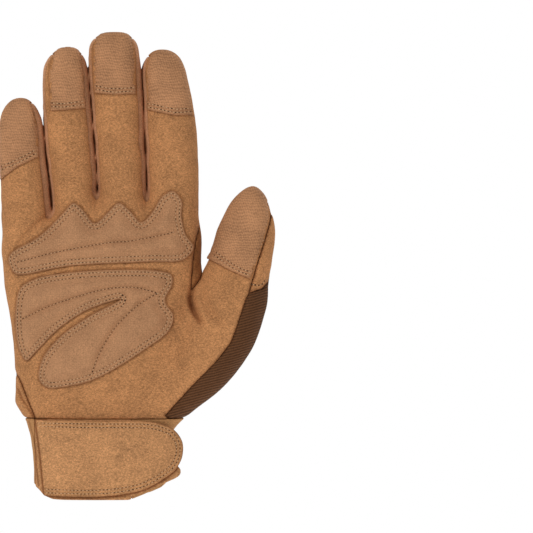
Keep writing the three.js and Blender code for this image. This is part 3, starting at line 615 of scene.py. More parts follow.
def at_vertices(o, block, grid):
    """Value of a grid of the block at each vertex."""
    at = np.empty(len(o.data.vertices) * 3, np.float32)
    o.data.vertices.foreach_get("co", at)
    at = at.reshape(-1, 3) / MM
    lo = np.array([block.x[0], block.y[0], block.z[0]])
    idx = np.rint((at - lo) / block.h).astype(int)
    grid = np.broadcast_to(grid, (len(block.x), len(block.y), len(block.z)))
    idx = np.clip(idx, 0, np.array(grid.shape) - 1)
    return grid[idx[:, 0], idx[:, 1], idx[:, 2]].astype(np.float32)


def shade(o, block, amount):
    """Stores how far painted shade darkens the cloth's colour."""
    layer = o.data.attributes.new("shade", "FLOAT", "POINT")
    layer.data.foreach_set("value", np.clip(at_vertices(o, block, amount), 0, 1))


def thin(o, block, below):
    """Coarser faces on the side of the cloth that is turned to the hand."""
    inside = at_vertices(o, block, block.d) < below
    group = o.vertex_groups.new(name="inside")
    group.add(np.flatnonzero(inside).tolist(), 1.0, "REPLACE")
    m = o.modifiers.new("thin", "DECIMATE")
    m.vertex_group = "inside"
    m.use_collapse_triangulate = True
    m.ratio = 1 - 0.8 * float(inside.mean())


def piece(name, block, field, material, dark=0.0):
    """A mesh that stands for the CAD node of the same name."""
    o = to_mesh(name, block, field)
    shade(o, block, dark)
    o.data.materials.append(material)
    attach(o, "root")
    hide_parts(name)
    return o


def thread_piece(name, block, field):
    """The thread that shows in the gap of a seam, dark brown as painted shade in the gap."""
    o = to_mesh(name, block, field)
    o.data.materials.append(SEAM_THREAD_SHADE)
    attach(o, "root")


# ---------------------------------------------------------------- materials

def srgb(r, g, b):
    def lin(c):
        c /= 255
        return c / 12.92 if c <= 0.04045 else ((c + 0.055) / 1.055) ** 2.4
    return (lin(r), lin(g), lin(b), 1.0)


class Nodes:
    def __init__(self, name):
        self.mat = bpy.data.materials.new(name)
        self.mat.use_nodes = True
        self.tree = self.mat.node_tree
        self.bsdf = self.tree.nodes["Principled BSDF"]
        self.where = self.add("ShaderNodeTexCoord").outputs["Object"]

    def add(self, kind, **props):
        n = self.tree.nodes.new(kind)
        for k, v in props.items():
            setattr(n, k, v)
        return n

    def link(self, a, b):
        self.tree.links.new(a, b)

    def noise(self, scale, detail, rough, stretch=None):
        n = self.add("ShaderNodeTexNoise")
        n.inputs["Scale"].default_value = scale
        n.inputs["Detail"].default_value = detail
        n.inputs["Roughness"].default_value = rough
        if stretch:
            m = self.add("ShaderNodeMapping")
            m.inputs["Scale"].default_value = stretch
            self.link(self.where, m.inputs["Vector"])
            self.link(m.outputs[0], n.inputs["Vector"])
        else:
            self.link(self.where, n.inputs["Vector"])
        return n.outputs["Fac"]

    def math(self, op, a, b=None):
        n = self.add("ShaderNodeMath", operation=op)
        for i, v in enumerate((a, b)):
            if v is None:
                continue
            if isinstance(v, (int, float)):
                n.inputs[i].default_value = v
            else:
                self.link(v, n.inputs[i])
        return n.outputs[0]

    def blend(self, *parts):
        """Sum of outputs, each times its share."""
        total = None
        for output, share in parts:
            term = self.math("MULTIPLY", output, share)
            total = term if total is None else self.math("ADD", total, term)
        return total

    def wave(self, output, length):
        return self.math("SINE", self.math("MULTIPLY", output, 2 * math.pi / length))

    def across_and_up(self):
        sep = self.add("ShaderNodeSeparateXYZ")
        self.link(self.where, sep.inputs[0])
        return sep.outputs["X"], sep.outputs["Z"]

    def ramp(self, fac, stops):
        n = self.add("ShaderNodeValToRGB")
        e = n.color_ramp.elements
        while len(e) < len(stops):
            e.new(0.5)
        for s, (at, colour) in zip(e, stops):
            s.position = at
            s.color = colour
        self.link(fac, n.inputs["Fac"])
        return n.outputs["Color"]

    def tones(self, fac, colour, reach, dark, light):
        """The colour at the middle of the range, darker and lighter at its ends."""
        return self.ramp(fac, [(0.5 - reach, scaled(colour, dark)), (0.5, colour),
                               (0.5 + reach, scaled(colour, light))])

    def mix(self, fac, a, b, blend="MIX"):
        n = self.add("ShaderNodeMix", data_type="RGBA", blend_type=blend)
        for sock, v in ((n.inputs[0], fac), (n.inputs[6], a), (n.inputs[7], b)):
            if isinstance(v, (int, float, tuple)):
                sock.default_value = v
            else:
                self.link(v, sock)
        return n.outputs[2]

    def bump(self, height, strength, distance, normal=None):
        n = self.add("ShaderNodeBump")
        n.inputs["Strength"].default_value = strength
        n.inputs["Distance"].default_value = distance
        self.link(height, n.inputs["Height"])
        if normal is not None:
            self.link(normal, n.inputs["Normal"])
        return n.outputs["Normal"]

    def finish(self, colour, normal=None, rough=0.9, sheen=0.0, tint=(1, 1, 1, 1)):
        # Painted shade: where the shade attribute is high, the colour is multiplied towards (0.42, 0.30,
        # 0.22) of itself.
        painted_shade_fac = self.add("ShaderNodeAttribute", attribute_name="shade")
        dark = self.mix(1.0, colour, (0.42, 0.30, 0.22, 1.0), "MULTIPLY")
        colour = self.mix(painted_shade_fac.outputs["Fac"], colour, dark)
        self.link(colour, self.bsdf.inputs["Base Color"])
        self.bsdf.inputs["Roughness"].default_value = rough
        self.bsdf.inputs["Specular IOR Level"].default_value = 0.18
        self.bsdf.inputs["Sheen Weight"].default_value = sheen
        self.bsdf.inputs["Sheen Roughness"].default_value = 0.55
        self.bsdf.inputs["Sheen Tint"].default_value = tint
        if normal is not None:
            self.link(normal, self.bsdf.inputs["Normal"])
        return self.mat


def scaled(colour, k):
    return tuple(min(1.0, c * k) for c in colour[:3]) + (1.0,)


def suede(name, colour, sheen=0.12, grain=1.0):
    """Brushed leather with a fine grain and faint clouds."""
    n = Nodes(name)
    fine = n.noise(2600, 3, 0.7)
    speck = n.noise(1350, 2, 0.65, (0.62, 1.0, 1.0))
    blot = n.noise(210, 2, 0.6)
    cloud = n.noise(62, 3, 0.55)
    mixed = n.blend((fine, 0.41), (speck, 0.35), (blot, 0.09), (cloud, 0.15))
    base = n.tones(mixed, colour, 0.11 * grain, 0.55, 1.55)
    normal = n.bump(fine, 0.5, 0.0004)
    normal = n.bump(speck, 0.3, 0.0005, normal)
    return n.finish(base, normal, 0.95, sheen, scaled(colour, 1.5))


def grip(name, colour):
    """Printed grip cloth: close wavy rows of small raised dashes."""
    n = Nodes(name)
    x, z = n.across_and_up()
    height = n.math("ADD", z, n.math("MULTIPLY", n.wave(x, 0.0021), 0.00012))
    height = n.math("ADD", height, n.math("MULTIPLY", n.noise(120, 2, 0.5), 0.0045))
    rib = n.wave(height, 0.00150)
    dash = n.wave(n.math("ADD", x, n.math("MULTIPLY", z, 0.35)), 0.0012)
    rows = n.math("ADD", n.blend((rib, 0.28), (dash, 0.20)), 0.5)
    tone = n.blend((rows, 0.20), (n.noise(1300, 2, 0.6), 0.42), (n.noise(75, 3, 0.55), 0.38))
    base = n.tones(tone, colour, 0.17, 0.62, 1.36)
    normal = n.bump(rows, 0.5, 0.0004)
    return n.finish(base, normal, 0.75, 0.05, scaled(colour, 1.4))


def twill(name, colour):
    """Fine close cloth of the pads, with a faint grid."""
    n = Nodes(name)
    grid = [n.wave(axis, 0.00115) for axis in n.across_and_up()]
    weave = n.math("ADD", n.math("MULTIPLY", n.math("ADD", *grid), 0.25), 0.5)
    fuzz = n.noise(1500, 3, 0.6)
    tone = n.blend((weave, 0.05), (fuzz, 0.69), (n.noise(80, 3, 0.55), 0.26))
    base = n.tones(tone, colour, 0.16, 0.70, 1.30)
    normal = n.bump(weave, 0.08, 0.0003)
    normal = n.bump(fuzz, 0.35, 0.0004, normal)
    return n.finish(base, normal, 0.9, 0.12, scaled(colour, 1.5))


def knit(name, colour, tilt=0.035):
    """Ribbed stretch cloth, its ribs nearly level and darker in their grooves as painted shade."""
    n = Nodes(name)
    x, z = n.across_and_up()
    height = n.math("ADD", z, n.math("MULTIPLY", x, tilt))
    height = n.math("ADD", height, n.math("MULTIPLY", n.noise(45, 2, 0.5), 0.0022))
    rib = n.math("ADD", n.math("MULTIPLY", n.wave(height, 0.00136), 0.5), 0.5)
    loops = n.noise(1500, 2, 0.5, (1.0, 1.0, 0.45))
    # The tone mixes painted shade in the ribs' grooves with the yarn's own loops and flecks.
    tone = n.blend((rib, 0.42), (loops, 0.38), (n.noise(500, 3, 0.6), 0.20))
    base = n.tones(tone, colour, 0.30, 0.50, 1.55)
    normal = n.bump(rib, 0.6, 0.0005)
    normal = n.bump(loops, 0.4, 0.0003, normal)
    return n.finish(base, normal, 0.95, 0.06, scaled(colour, 2.0))


def elastic(name, colour):
    """Close woven elastic."""
    n = Nodes(name)
    cells = n.add("ShaderNodeTexVoronoi", feature="F1")
    cells.inputs["Scale"].default_value = 900
    cells.inputs["Randomness"].default_value = 0.6
    n.link(n.where, cells.inputs["Vector"])
    weave = cells.outputs["Distance"]
    fuzz = n.noise(1600, 3, 0.65)
    tone = n.blend((weave, 0.22), (fuzz, 0.58), (n.noise(90, 2, 0.5), 0.20))
    base = n.tones(tone, colour, 0.17, 0.72, 1.28)
    normal = n.bump(weave, 0.35, 0.0003)
    normal = n.bump(fuzz, 0.35, 0.0003, normal)
    return n.finish(base, normal, 0.92, 0.1, scaled(colour, 1.5))


def plain(name, colour, rough=0.8):
    n = Nodes(name)
    fuzz = n.noise(2500, 2, 0.5)
    base = n.ramp(fuzz, [(0.3, scaled(colour, 0.75)), (0.7, scaled(colour, 1.2))])
    return n.finish(base, n.bump(fuzz, 0.4, 0.0003), rough)


SUEDE = suede("palm_suede_look", srgb(185, 130, 84))
CAP_SUEDE = suede("cap_suede_look", srgb(196, 142, 92))
THUMB_SUEDE = suede("thumb_suede_look", srgb(186, 130, 84))
PAD = twill("pad_look", srgb(181, 133, 95))
GRIP = grip("grip_look", srgb(182, 131, 92))
# The side cloth is lighter than its own tone, as painted light that offsets the shade between the fingers.
SIDE = suede("side_cloth_look", srgb(205, 151, 112), 0.1, 1.5)
KNIT = knit("knit_look", srgb(121, 85, 55))
GUSSET_KNIT = knit("gusset_knit_look", srgb(118, 82, 53), -0.25)
ELASTIC = elastic("elastic_look", srgb(186, 136, 88))
STRAP_LOOK = suede("strap_look", srgb(192, 139, 93))
HOOKS = plain("hook_look", srgb(58, 42, 32))
THREAD = plain("thread_look", srgb(204, 168, 128), 0.7)
# Needle holes are dark discs on the surface: painted shade in each hole.
NEEDLE_HOLE_SHADE = plain("needle_hole_shade_look", srgb(78, 50, 31), 0.9)
# The seam thread's dark brown is painted shade in each seam's gap.
SEAM_THREAD_SHADE = plain("seam_thread_shade_look", srgb(96, 58, 32), 0.9)


# ---------------------------------------------------------------- camera, light, floor

CAMERA_AWAY = 1.6  # metres
SENSOR = 36
middle_x, middle_z = (float(v) * MM for v in from_px([(PICTURE / 2, PICTURE / 2)])[0])
cam_data = bpy.data.cameras.new("camera")
cam_data.sensor_width = SENSOR
cam_data.lens = SENSOR * CAMERA_AWAY / (PICTURE * PX * MM)
cam_data.clip_end = 20
camera = shown("camera", cam_data)
camera.location = (middle_x, -CAMERA_AWAY, middle_z)
camera.rotation_euler = (math.radians(90), 0, 0)
bpy.context.scene.camera = camera


AIM = Vector((0.03, 0, 0.12))
for name, place, size, power in (
        ("key", (-0.9, -1.3, 1.3), (0.9, 0.9), 14),
        ("fill", (1.3, -1.2, 0.5), (1.0, 1.4), 2.6),
        ("back_key", (0.9, 1.3, 1.3), (0.9, 0.9), 11.8),
        ("back_fill", (-1.2, 1.2, 0.5), (1.0, 1.4), 2.6)):
    light = bpy.data.lights.new(name, "AREA")
    light.shape = "RECTANGLE"
    light.size, light.size_y = size
    light.energy = power
    lamp = shown(name, light)
    lamp.location = place
    lamp.rotation_euler = (AIM - Vector(place)).to_track_quat("-Z", "Y").to_euler()

world = bpy.data.worlds.new("studio")
world.use_nodes = True
tree = world.node_tree
seen = tree.nodes.new("ShaderNodeLightPath")
bright = tree.nodes.new("ShaderNodeMapRange")
bright.inputs["To Min"].default_value = 0.37  # what lights the glove; the camera sees white
bright.inputs["To Max"].default_value = 1.0
tree.links.new(seen.outputs["Is Camera Ray"], bright.inputs["Value"])
tree.nodes["Background"].inputs["Color"].default_value = (1, 1, 1, 1)
tree.links.new(bright.outputs["Result"], tree.nodes["Background"].inputs["Strength"])
bpy.context.scene.world = world
bpy.context.scene.view_settings.view_transform = "Standard"

FLOOR_REACH, FLOOR_LEVEL = 1.2, -0.16  # metres
floor_mesh = bpy.data.meshes.new("floor")
rim = [(FLOOR_REACH * math.cos(a * math.pi / 32), FLOOR_REACH * math.sin(a * math.pi / 32), FLOOR_LEVEL)
       for a in range(64)]
floor_mesh.from_pydata(rim, [], [tuple(range(64))])
floor = shown("floor", floor_mesh)
floor_look = bpy.data.materials.new("floor_look")
floor_look.use_nodes = True
for key, value in (("Base Color", (0.95, 0.95, 0.95, 1)), ("Roughness", 0.9),
                   ("Emission Color", (1, 1, 1, 1)), ("Emission Strength", 0.3)):
    floor_look.node_tree.nodes["Principled BSDF"].inputs[key].default_value = value
floor_mesh.materials.append(floor_look)


# ---------------------------------------------------------------- stitches

def even(pts, pitch, closed=False):
    """Points and directions at even steps along a line."""
    p = np.asarray(pts, float)
    if closed:
        p = np.vstack([p, p[:1]])
    step = np.linalg.norm(np.diff(p, axis=0), axis=1)
    keep = np.concatenate([[True], step > 1e-6])
    p = p[keep]
    length = np.concatenate([[0], np.cumsum(np.linalg.norm(np.diff(p, axis=0), axis=1))])
    count = max(2, int(round(length[-1] / pitch)))
    at = (np.arange(count) + 0.5) * length[-1] / count
    at2 = np.arange(count) * length[-1] / count

    def place(a):
        return np.stack([np.interp(a, length, p[:, 0]), np.interp(a, length, p[:, 1])], 1)

    mid, hole = place(at), place(at2)
    t = place(np.minimum(at + 0.4, length[-1])) - place(np.maximum(at - 0.4, 0))
    return mid, t / np.linalg.norm(t, axis=1)[:, None], hole


def points_inside(pts, outline):
    px, pz = np.asarray(pts, float).T
    return polygon_distance(px, pz, outline)


def offset_line(outline, by):
    """The outline moved inward, without the loops that its corners make."""
    p = np.asarray(outline, float)
    t = np.roll(p, -1, 0) - np.roll(p, 1, 0)
    t /= np.linalg.norm(t, axis=1)[:, None]
    n = np.stack([-t[:, 1], t[:, 0]], 1)
    area2 = np.sum(p[:, 0] * np.roll(p[:, 1], -1) - np.roll(p[:, 0], -1) * p[:, 1])
    q = p + n * (by if area2 > 0 else -by)
    return q[points_inside(q, p) < -0.94 * by]


def clip_line(line, outline, margin):
    """The part of a line inside an outline."""
    line = np.asarray(line, float)
    return line[points_inside(line, outline) < -margin]


def shifted(line, by):
    """A line moved to its left by a distance."""
    p = np.asarray(line, float)
    t = np.gradient(p, axis=0)
    t /= np.linalg.norm(t, axis=1)[:, None]
    return p + np.stack([-t[:, 1], t[:, 0]], 1) * by


def surface_of(block, field, side):
    """Depth of the surface met first from the front (-1) or from behind (1)."""
    inside = field < 0
    if side > 0:
        inside = inside[:, ::-1]
        field = field[:, ::-1]
    first = inside.argmax(1)
    hit = inside.any(1)
    i, k = np.meshgrid(np.arange(field.shape[0]), np.arange(field.shape[2]), indexing="ij")
    prev = np.maximum(first - 1, 0)
    a, c = field[i, prev, k], field[i, first, k]
    t = np.where(a > c, a / np.maximum(a - c, 1e-6), 0)
    ys = block.y[::-1] if side > 0 else block.y
    y = ys[prev] + side * -1 * np.clip(t, 0, 1) * block.h
    return np.where(hit, y, np.nan)


def sample(block, height, pts):
    """Height at places between those of the grid."""
    fx = (pts[:, 0] - block.x[0]) / block.h
    fz = (pts[:, 1] - block.z[0]) / block.h
    i = np.clip(fx.astype(int), 0, height.shape[0] - 2)
    k = np.clip(fz.astype(int), 0, height.shape[1] - 2)
    u, v = fx - i, fz - k
    return ((1 - u) * (1 - v) * height[i, k] + u * (1 - v) * height[i + 1, k]
            + (1 - u) * v * height[i, k + 1] + u * v * height[i + 1, k + 1])


def bead(rings, sides):
    """Verts and faces of a small closed form along its first axis."""
    verts = [(-1, 0, 0)]
    for at, r in rings:
        for s in range(sides):
            a = 2 * math.pi * s / sides
            verts.append((at, r * math.cos(a), r * math.sin(a)))
    verts.append((1, 0, 0))
    faces = []
    for s in range(sides):
        t = (s + 1) % sides
        faces.append((0, 1 + t, 1 + s))
        for r in range(len(rings) - 1):
            o = 1 + r * sides
            faces.append((o + s, o + t, o + sides + t, o + sides + s))
        o = 1 + (len(rings) - 1) * sides
        faces.append((o + s, o + t, len(verts) - 1))
    return np.array(verts, float), faces


THREAD_FORM = bead([(-0.75, 0.7), (0.0, 1.0), (0.75, 0.7)], 6)
HOLE_FORM = bead([(0.0, 1.0)], 7)


# Distance between stitches; half length, width and height of a thread, and of its needle hole
PITCH = 1.9
COARSE = (0.46, 0.27, 0.18, 0.54)
FINE = (0.42, 0.18, 0.10, 0.46)


def stitch(name, block, field, rows, side, fine_rows=(), zigzags=()):
    """Threads and needle holes that lie on the surface of a piece; each hole is a dark disc, painted shade
    in the hole.
    """
    height = surface_of(block, field, side)
    verts, faces, kinds = [], [], []
    total = 0

    def put(form, place, axes, kind):
        nonlocal total
        base, polys = form
        for p, m in zip(place, axes):
            verts.append(p + base @ m)
            faces.extend(tuple(v + total for v in f) for f in polys)
            kinds.extend([kind] * len(polys))
            total += len(base)

    def frame_at(pts, tangent):
        step = 0.35
        normal_in = np.stack([-tangent[:, 1], tangent[:, 0]], 1)
        y, dt, dn = (sample(block, height, pts), *(
            (sample(block, height, pts + step * way) - sample(block, height, pts - step * way)) / (2 * step)
            for way in (tangent, normal_in)))
        t3 = np.stack([tangent[:, 0], dt, tangent[:, 1]], 1)
        n3 = np.stack([normal_in[:, 0], dn, normal_in[:, 1]], 1)
        t3 /= np.linalg.norm(t3, axis=1)[:, None]
        up3 = np.cross(t3, n3)
        up3 /= np.linalg.norm(up3, axis=1)[:, None]
        up3 *= np.where(up3[:, 1:2] * side < 0, -1, 1)
        n3 = np.cross(up3, t3)
        centre = np.stack([pts[:, 0], y, pts[:, 1]], 1)
        good = np.isfinite(centre).all(1) & np.isfinite(t3).all(1) & (np.abs(up3[:, 1]) > 0.25)
        return centre, t3, n3, up3, good

    def row(pts, closed, long, wide, high, hole):
        mid, t, holes = even(pts, PITCH, closed)
        centre, t3, n3, u3, good = frame_at(mid, t)
        m = np.stack([t3 * long, n3 * wide, u3 * high], 1)
        put(THREAD_FORM, (centre + 0.05 * u3)[good], m[good], 0)
        centre, t3, n3, u3, good = frame_at(holes, t)
        m = np.stack([u3 * 0.10, t3 * hole * 1.1, n3 * hole * 0.9], 1)
        put(HOLE_FORM, centre[good], m[good], 1)

    for lines, form in ((rows, COARSE), (fine_rows, FINE)):
        for pts, closed in lines:
            if len(pts) > 3:
                row(pts, closed, *form)
    for pts, tall in zigzags:
        mid, t, holes = even(pts, 1.0)
        for k in range(len(mid)):
            lean_to = 1 if k % 2 else -1
            d = t[k] * 0.5 + np.array([-t[k][1], t[k][0]]) * lean_to * tall / 2
            d1 = (d / np.linalg.norm(d))[None]
            centre, t3, n3, u3, good = frame_at(mid[k:k + 1], d1)
            m = np.stack([t3 * np.linalg.norm(d), n3 * 0.17, u3 * 0.14], 1)
            put(THREAD_FORM, (centre + 0.05 * u3)[good], m[good], 0)
            end = mid[k:k + 1] + d[None]
            centre, t3, n3, u3, good = frame_at(end, d1)
            m = np.stack([u3 * 0.10, t3 * 0.22, n3 * 0.22], 1)
            put(HOLE_FORM, centre[good], m[good], 1)
    me = bpy.data.meshes.new(name)
    me.from_pydata((np.vstack(verts) * MM).tolist(), [], faces)
    me.materials.append(THREAD)
    me.materials.append(NEEDLE_HOLE_SHADE)
    me.polygons.foreach_set("material_index", np.array(kinds, np.int32))
    me.polygons.foreach_set("use_smooth", np.ones(len(kinds), bool))
    me.update()
    o = shown(name, me)
    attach(o, "root")


# ---------------------------------------------------------------- the sewn panels

def wall_of(block, turned_in=0.0):
    """Wall of cloth, its outer face turned in by a depth."""
    return smax(block.d + turned_in, -(block.d + WALL), 0.5)


def sewn(name, block, region, material, cut, painted_shade, seam):
    """One panel of the shell: its region, less the space its neighbours take."""
    edge = region
    for other in cut:
        edge = np.maximum(edge, -other)
    soft = soft_tips(block)
    field = smax(wall_of(block, 0.5 * soft * bell(np.clip(-edge, 0, 6), 1)), edge, 0.4)
    field = smax(field, (HAND_LOW - block.z)[None, None, :], 0.3)
    # Painted shade: darker along the panel's seams, less so round the fingertips, and with the painted shade
    # each panel is given.
    dark = np.maximum(seam * (0.25 + 0.75 * soft) * bell(edge, 0.6), painted_shade)
    thin(piece(name, block, field, material, dark), block, HAND_SIDE)
    return edge


def soft_tips(b):
    """One over most of the hand, near zero round the fingertips, where the seams lie flat."""
    out = np.ones(b.gx.shape)
    for _, rows, tip, _, _ in FINGERS.values():
        left, right = across(rows[-1][1]) - 3, across(rows[-1][2]) + 3
        near = smoothstep(up(tip) - 11, up(tip) - 6, b.gz)
        out = np.where((b.gx > left) & (b.gx < right), 1 - 0.9 * near, out)
    return out[:, None, :]


HAND_LOW = up(-0.024)
HAND_SIDE = -0.9  # depth in the cloth from which it faces the hand
HAND = Block((-57, -27, HAND_LOW - 2), (94, 26, 243), 0.7)


def shadow_lines(b):
    """Dark line in the palm's suede round what is sewn on it."""
    crease = b.line(traced([(192.5, 290), (191, 299), (194, 310), (200, 321)]))
    out = 0.7 * bell(crease, 1.4)
    for outline in (UPPER_PAD, LOWER_PAD):
        out = np.maximum(out, 0.55 * bell(b.poly(closed_curve(outline)) - 0.1, 0.5))
    for outline in TIP_PATCHES.values():
        out = np.maximum(out, 0.5 * bell(b.poly(outline) - 0.1, 0.5))
    return out[:, None, :]


def hand_pieces():
    b = HAND
    taken = []
    seams = np.full(b.d.shape, 9.0, np.float32)

    # Each panel can be given painted shade; seam sets how dark the painted shade along its seams is.
    def add(name, make, material, painted_shade=0.0, seam=0.75):
        nonlocal seams
        edge = sewn(name, b, make(0), material, taken, painted_shade, seam)
        seams = np.minimum(seams, edge)
        taken.append(make(SEAM))

    for (name, outline), top in zip(FOURCHETTES.items(), MEET.values()):
        below = smoothstep(up(top + 0.02), up(top - 0.08), b.z)[None, None, :]
        # Painted shade deep in the gap between two fingers, below the height where they meet.
        deep = 0.97 * bell(b.y0 - 1.2, 1.9) * below
        add("fourchette_" + name, lambda g: b.between(outline, g), SIDE, deep, 0.35)
    for name, outline in CAPS.items():
        add(name + "_cap", lambda g: b.behind(outline, g), CAP_SUEDE)

    def both(front, back):
        return lambda g: np.minimum(b.ahead(front, g), b.behind(back, g))

    # Painted shade on the front of the index finger's web, which turns away from the light.
    web_shade = np.where((b.y0 < 1.5) & (b.z[None, None, :] < up(0.90)), 0.85, 0.0)
    add("index_back", both(INDEX_WEB, INDEX_BACK), CAP_SUEDE, web_shade)
    add("thumb_back", both(THUMB_BACK_FRONT, THUMB_BACK_REAR), THUMB_SUEDE)
    # The gusset's front is darkened, as painted shade on the side turned from the light.
    add("thumb_gusset", both(GUSSET_FRONT, GUSSET_REAR), GUSSET_KNIT, 0.65 * smoothstep(-5, 3, -b.y0))
    # Painted shade along the lips of the fold at the wrist.
    lips = np.minimum(*[b.line(traced(p)) for p in LIPS])[:, None, :]
    add("side_fold", lambda g: b.ahead(SIDE_FOLD, g), SUEDE, 0.8 * bell(lips, 0.6))
    add("palm_panel", lambda g: np.minimum(np.minimum(b.ahead(None, g), b.behind(THUMB_INNER, g)),
                                           b.behind(SIDE_WRAP, g)),
        SUEDE, np.where(b.y0 < 0, shadow_lines(b), 0))
    add("back_panel", lambda g: np.broadcast_to(-b.y0 - 1, b.d.shape), KNIT)

    def rows(outline, first, last, by):
        line = open_curve(plan(outline[first:last]), 8)
        return shifted(line, by), False

    skin = wall_of(b)
    stitch("stitches_back", b, skin,
           [rows(CAPS["little"], 1, 6, 1.5), rows(CAPS["ring"], 0, 5, 1.5), rows(CAPS["middle"], 0, 5, 1.5),
            rows(INDEX_BACK, 0, 16, 1.5), rows(THUMB_BACK_REAR, 8, 14, 1.6)], 1)
    thumb_row = traced([(251.4, 286.5), (257, 287.5), (262.7, 286.6), (266, 283), (268.8, 280.4)])
    stitch("stitches_thumb", b, skin, [(shifted(thumb_row, 1.3), False)], -1)

    thread = np.maximum(np.abs(seams) - 0.55, np.abs(b.d + 1.25) - 0.42)
    thread = np.maximum(thread, (HAND_LOW + 0.3 - b.z)[None, None, :])
    thread_piece("seam_thread", b, thread)


hand_pieces()


# ---------------------------------------------------------------- patches and pads

def box_of(outline):
    """Corners of a grid round an outline on the palm's side, within the glove's own box."""
    left, low = outline.min(0) - 1.5
    right, high = outline.max(0) + 1.5
    return (max(left, -56), -27.0, low), (min(right, 92), 2.0, min(high, 243))


def patches():
    for name, outline in TIP_PATCHES.items():
        pts = plan(outline)
        b = Block(*box_of(pts), 0.5)
        region = b.poly(pts)[:, None, :]
        side = b.y0 + {"thumb": 0, "index": 5.5}.get(name, 3)
        edge = np.maximum(region, side)
        d = b.d
        border = traced(PATCH_BORDERS[name], 12)
        along = b.line(border)
        dip = sum(0.18 * bell(along - at, 0.45) for at in PATCH_ROWS)
        thinner = 0.35 * bell(np.clip(-side / 2.2, 0, 9), 1)
        lift = 0.18 + 0.72 * np.maximum(smoothstep(0, 3.0, -region[:, 0]), smoothstep(6.0, 3.5, along))
        field = np.maximum(d - lift[:, None, :] + dip[:, None, :] + thinner, -(d - 0.12))
        field = smax(field, edge, 0.5)
        # Painted shade along the patch's edge and in the dipped band between its stitch rows.
        dark = np.maximum(0.6 * bell(edge, 0.4), 0.2 * bell(along[:, None, :] - 2.5, 1.2))
        piece(name + "_tip_patch", b, field, GRIP, dark)
        rows = [(clip_line(shifted(border, at), pts, 0.4), False) for at in PATCH_ROWS]
        stitch("stitches_" + name + "_tip", b, field, rows, -1)


def pad(name, outline, quilts, puff):
    """A thin quilted pad, sewn down along its edge and its quilting lines."""
    edge_line = closed_curve(outline)
    b = Block(*box_of(edge_line), 0.45)
    inside = -b.poly(edge_line)
    rise = smoothstep(3.0, 8.5, inside)
    # Painted shade along the pad's edge, in its quilting lines and in its stitch rows' grooves.
    dark = 0.8 * bell(inside, 0.45)
    for q in quilts:
        dist = b.line(open_curve(q))
        rise = rise * (1 - 0.95 * bell(dist, 1.6)) * (0.55 + 0.45 * smoothstep(0, 6.5, dist))
        # Painted shade in the quilting line's valley.
        dark = np.maximum(dark, 0.35 * bell(dist, 0.6))
    thick = 0.95 + puff * rise
    for at in PAD_ROWS:
        thick = thick - 0.25 * bell(inside - at, 0.45)
        # Painted shade in the stitch row's groove.
        dark = np.maximum(dark, 0.3 * bell(inside - at, 0.5))
    d = b.d
    field = np.maximum(d - thick[:, None, :], -(d - 0.2))
    field = smax(field, -inside[:, None, :], 0.5)
    o = piece(name, b, field, PAD, dark[:, None, :])
    thin(o, b, 0.45)
    fine = closed_curve(outline, 12)
    rows = [(offset_line(fine, at), True) for at in PAD_ROWS]
    stitch("stitches_" + name, b, field, rows, -1,
           [(clip_line(open_curve(q, 16), fine, 3.8), False) for q in quilts])


patches()
pad("knuckle_pad", UPPER_PAD, [UPPER_QUILT], 2.0)
pad("palm_pad", LOWER_PAD, [CRESCENT_QUILT, LEAF_QUILT], 2.2)


# ---------------------------------------------------------------- cuff

STRAP_LEAVES = float(across(0.44))  # where the strap leaves the cuff and runs off straight
STRAP = np.vstack([open_curve(STRAP_ROWS[:-1], 4), STRAP_ROWS[-1:]])
TAB = open_curve(TAB_ROWS, 4)


def front_of_cuff(x, z):
    """Depth and slope of the sheet that lies on the cuff and runs off straight."""
    middle, wide, front, _ = sections(TRUNK, z)
    q = SQUARE

    def at(px):
        s = np.minimum(0.995, np.abs((px - middle) / wide))
        return -(front * DEPTH) * (1 - s ** q) ** (1 / q)

    gx = np.broadcast_to(x[:, None], (len(x), len(z)))
    slope = (at(STRAP_LEAVES) - at(STRAP_LEAVES - 0.5)) / 0.5
    y = np.where(gx <= STRAP_LEAVES, at(gx), at(STRAP_LEAVES) + slope * (gx - STRAP_LEAVES))
    gy = np.gradient(y, x, axis=0)
    return y, 1 / np.sqrt(1 + gy * gy)


def sheet_field(b, near, far, outline):
    """A sheet between two distances in front of the cuff, inside an outline."""
    y, c = front_of_cuff(b.x, b.z)
    s = (y[:, None, :] - b.y[None, :, None]) * c[:, None, :]
    layer = np.maximum(near - s, s - far)
    return smax(layer, b.poly(outline)[:, None, :], 0.6), s


def in_order(pts):
    """Turns a ring of points so that it starts after its widest break."""
    step = np.linalg.norm(np.roll(pts, -1, 0) - pts, axis=1)
    return np.roll(pts, -int(step.argmax()) - 1, 0)


def upright(left, right, low, high):
    return [[left, low], [right, low], [right, high], [left, high]]


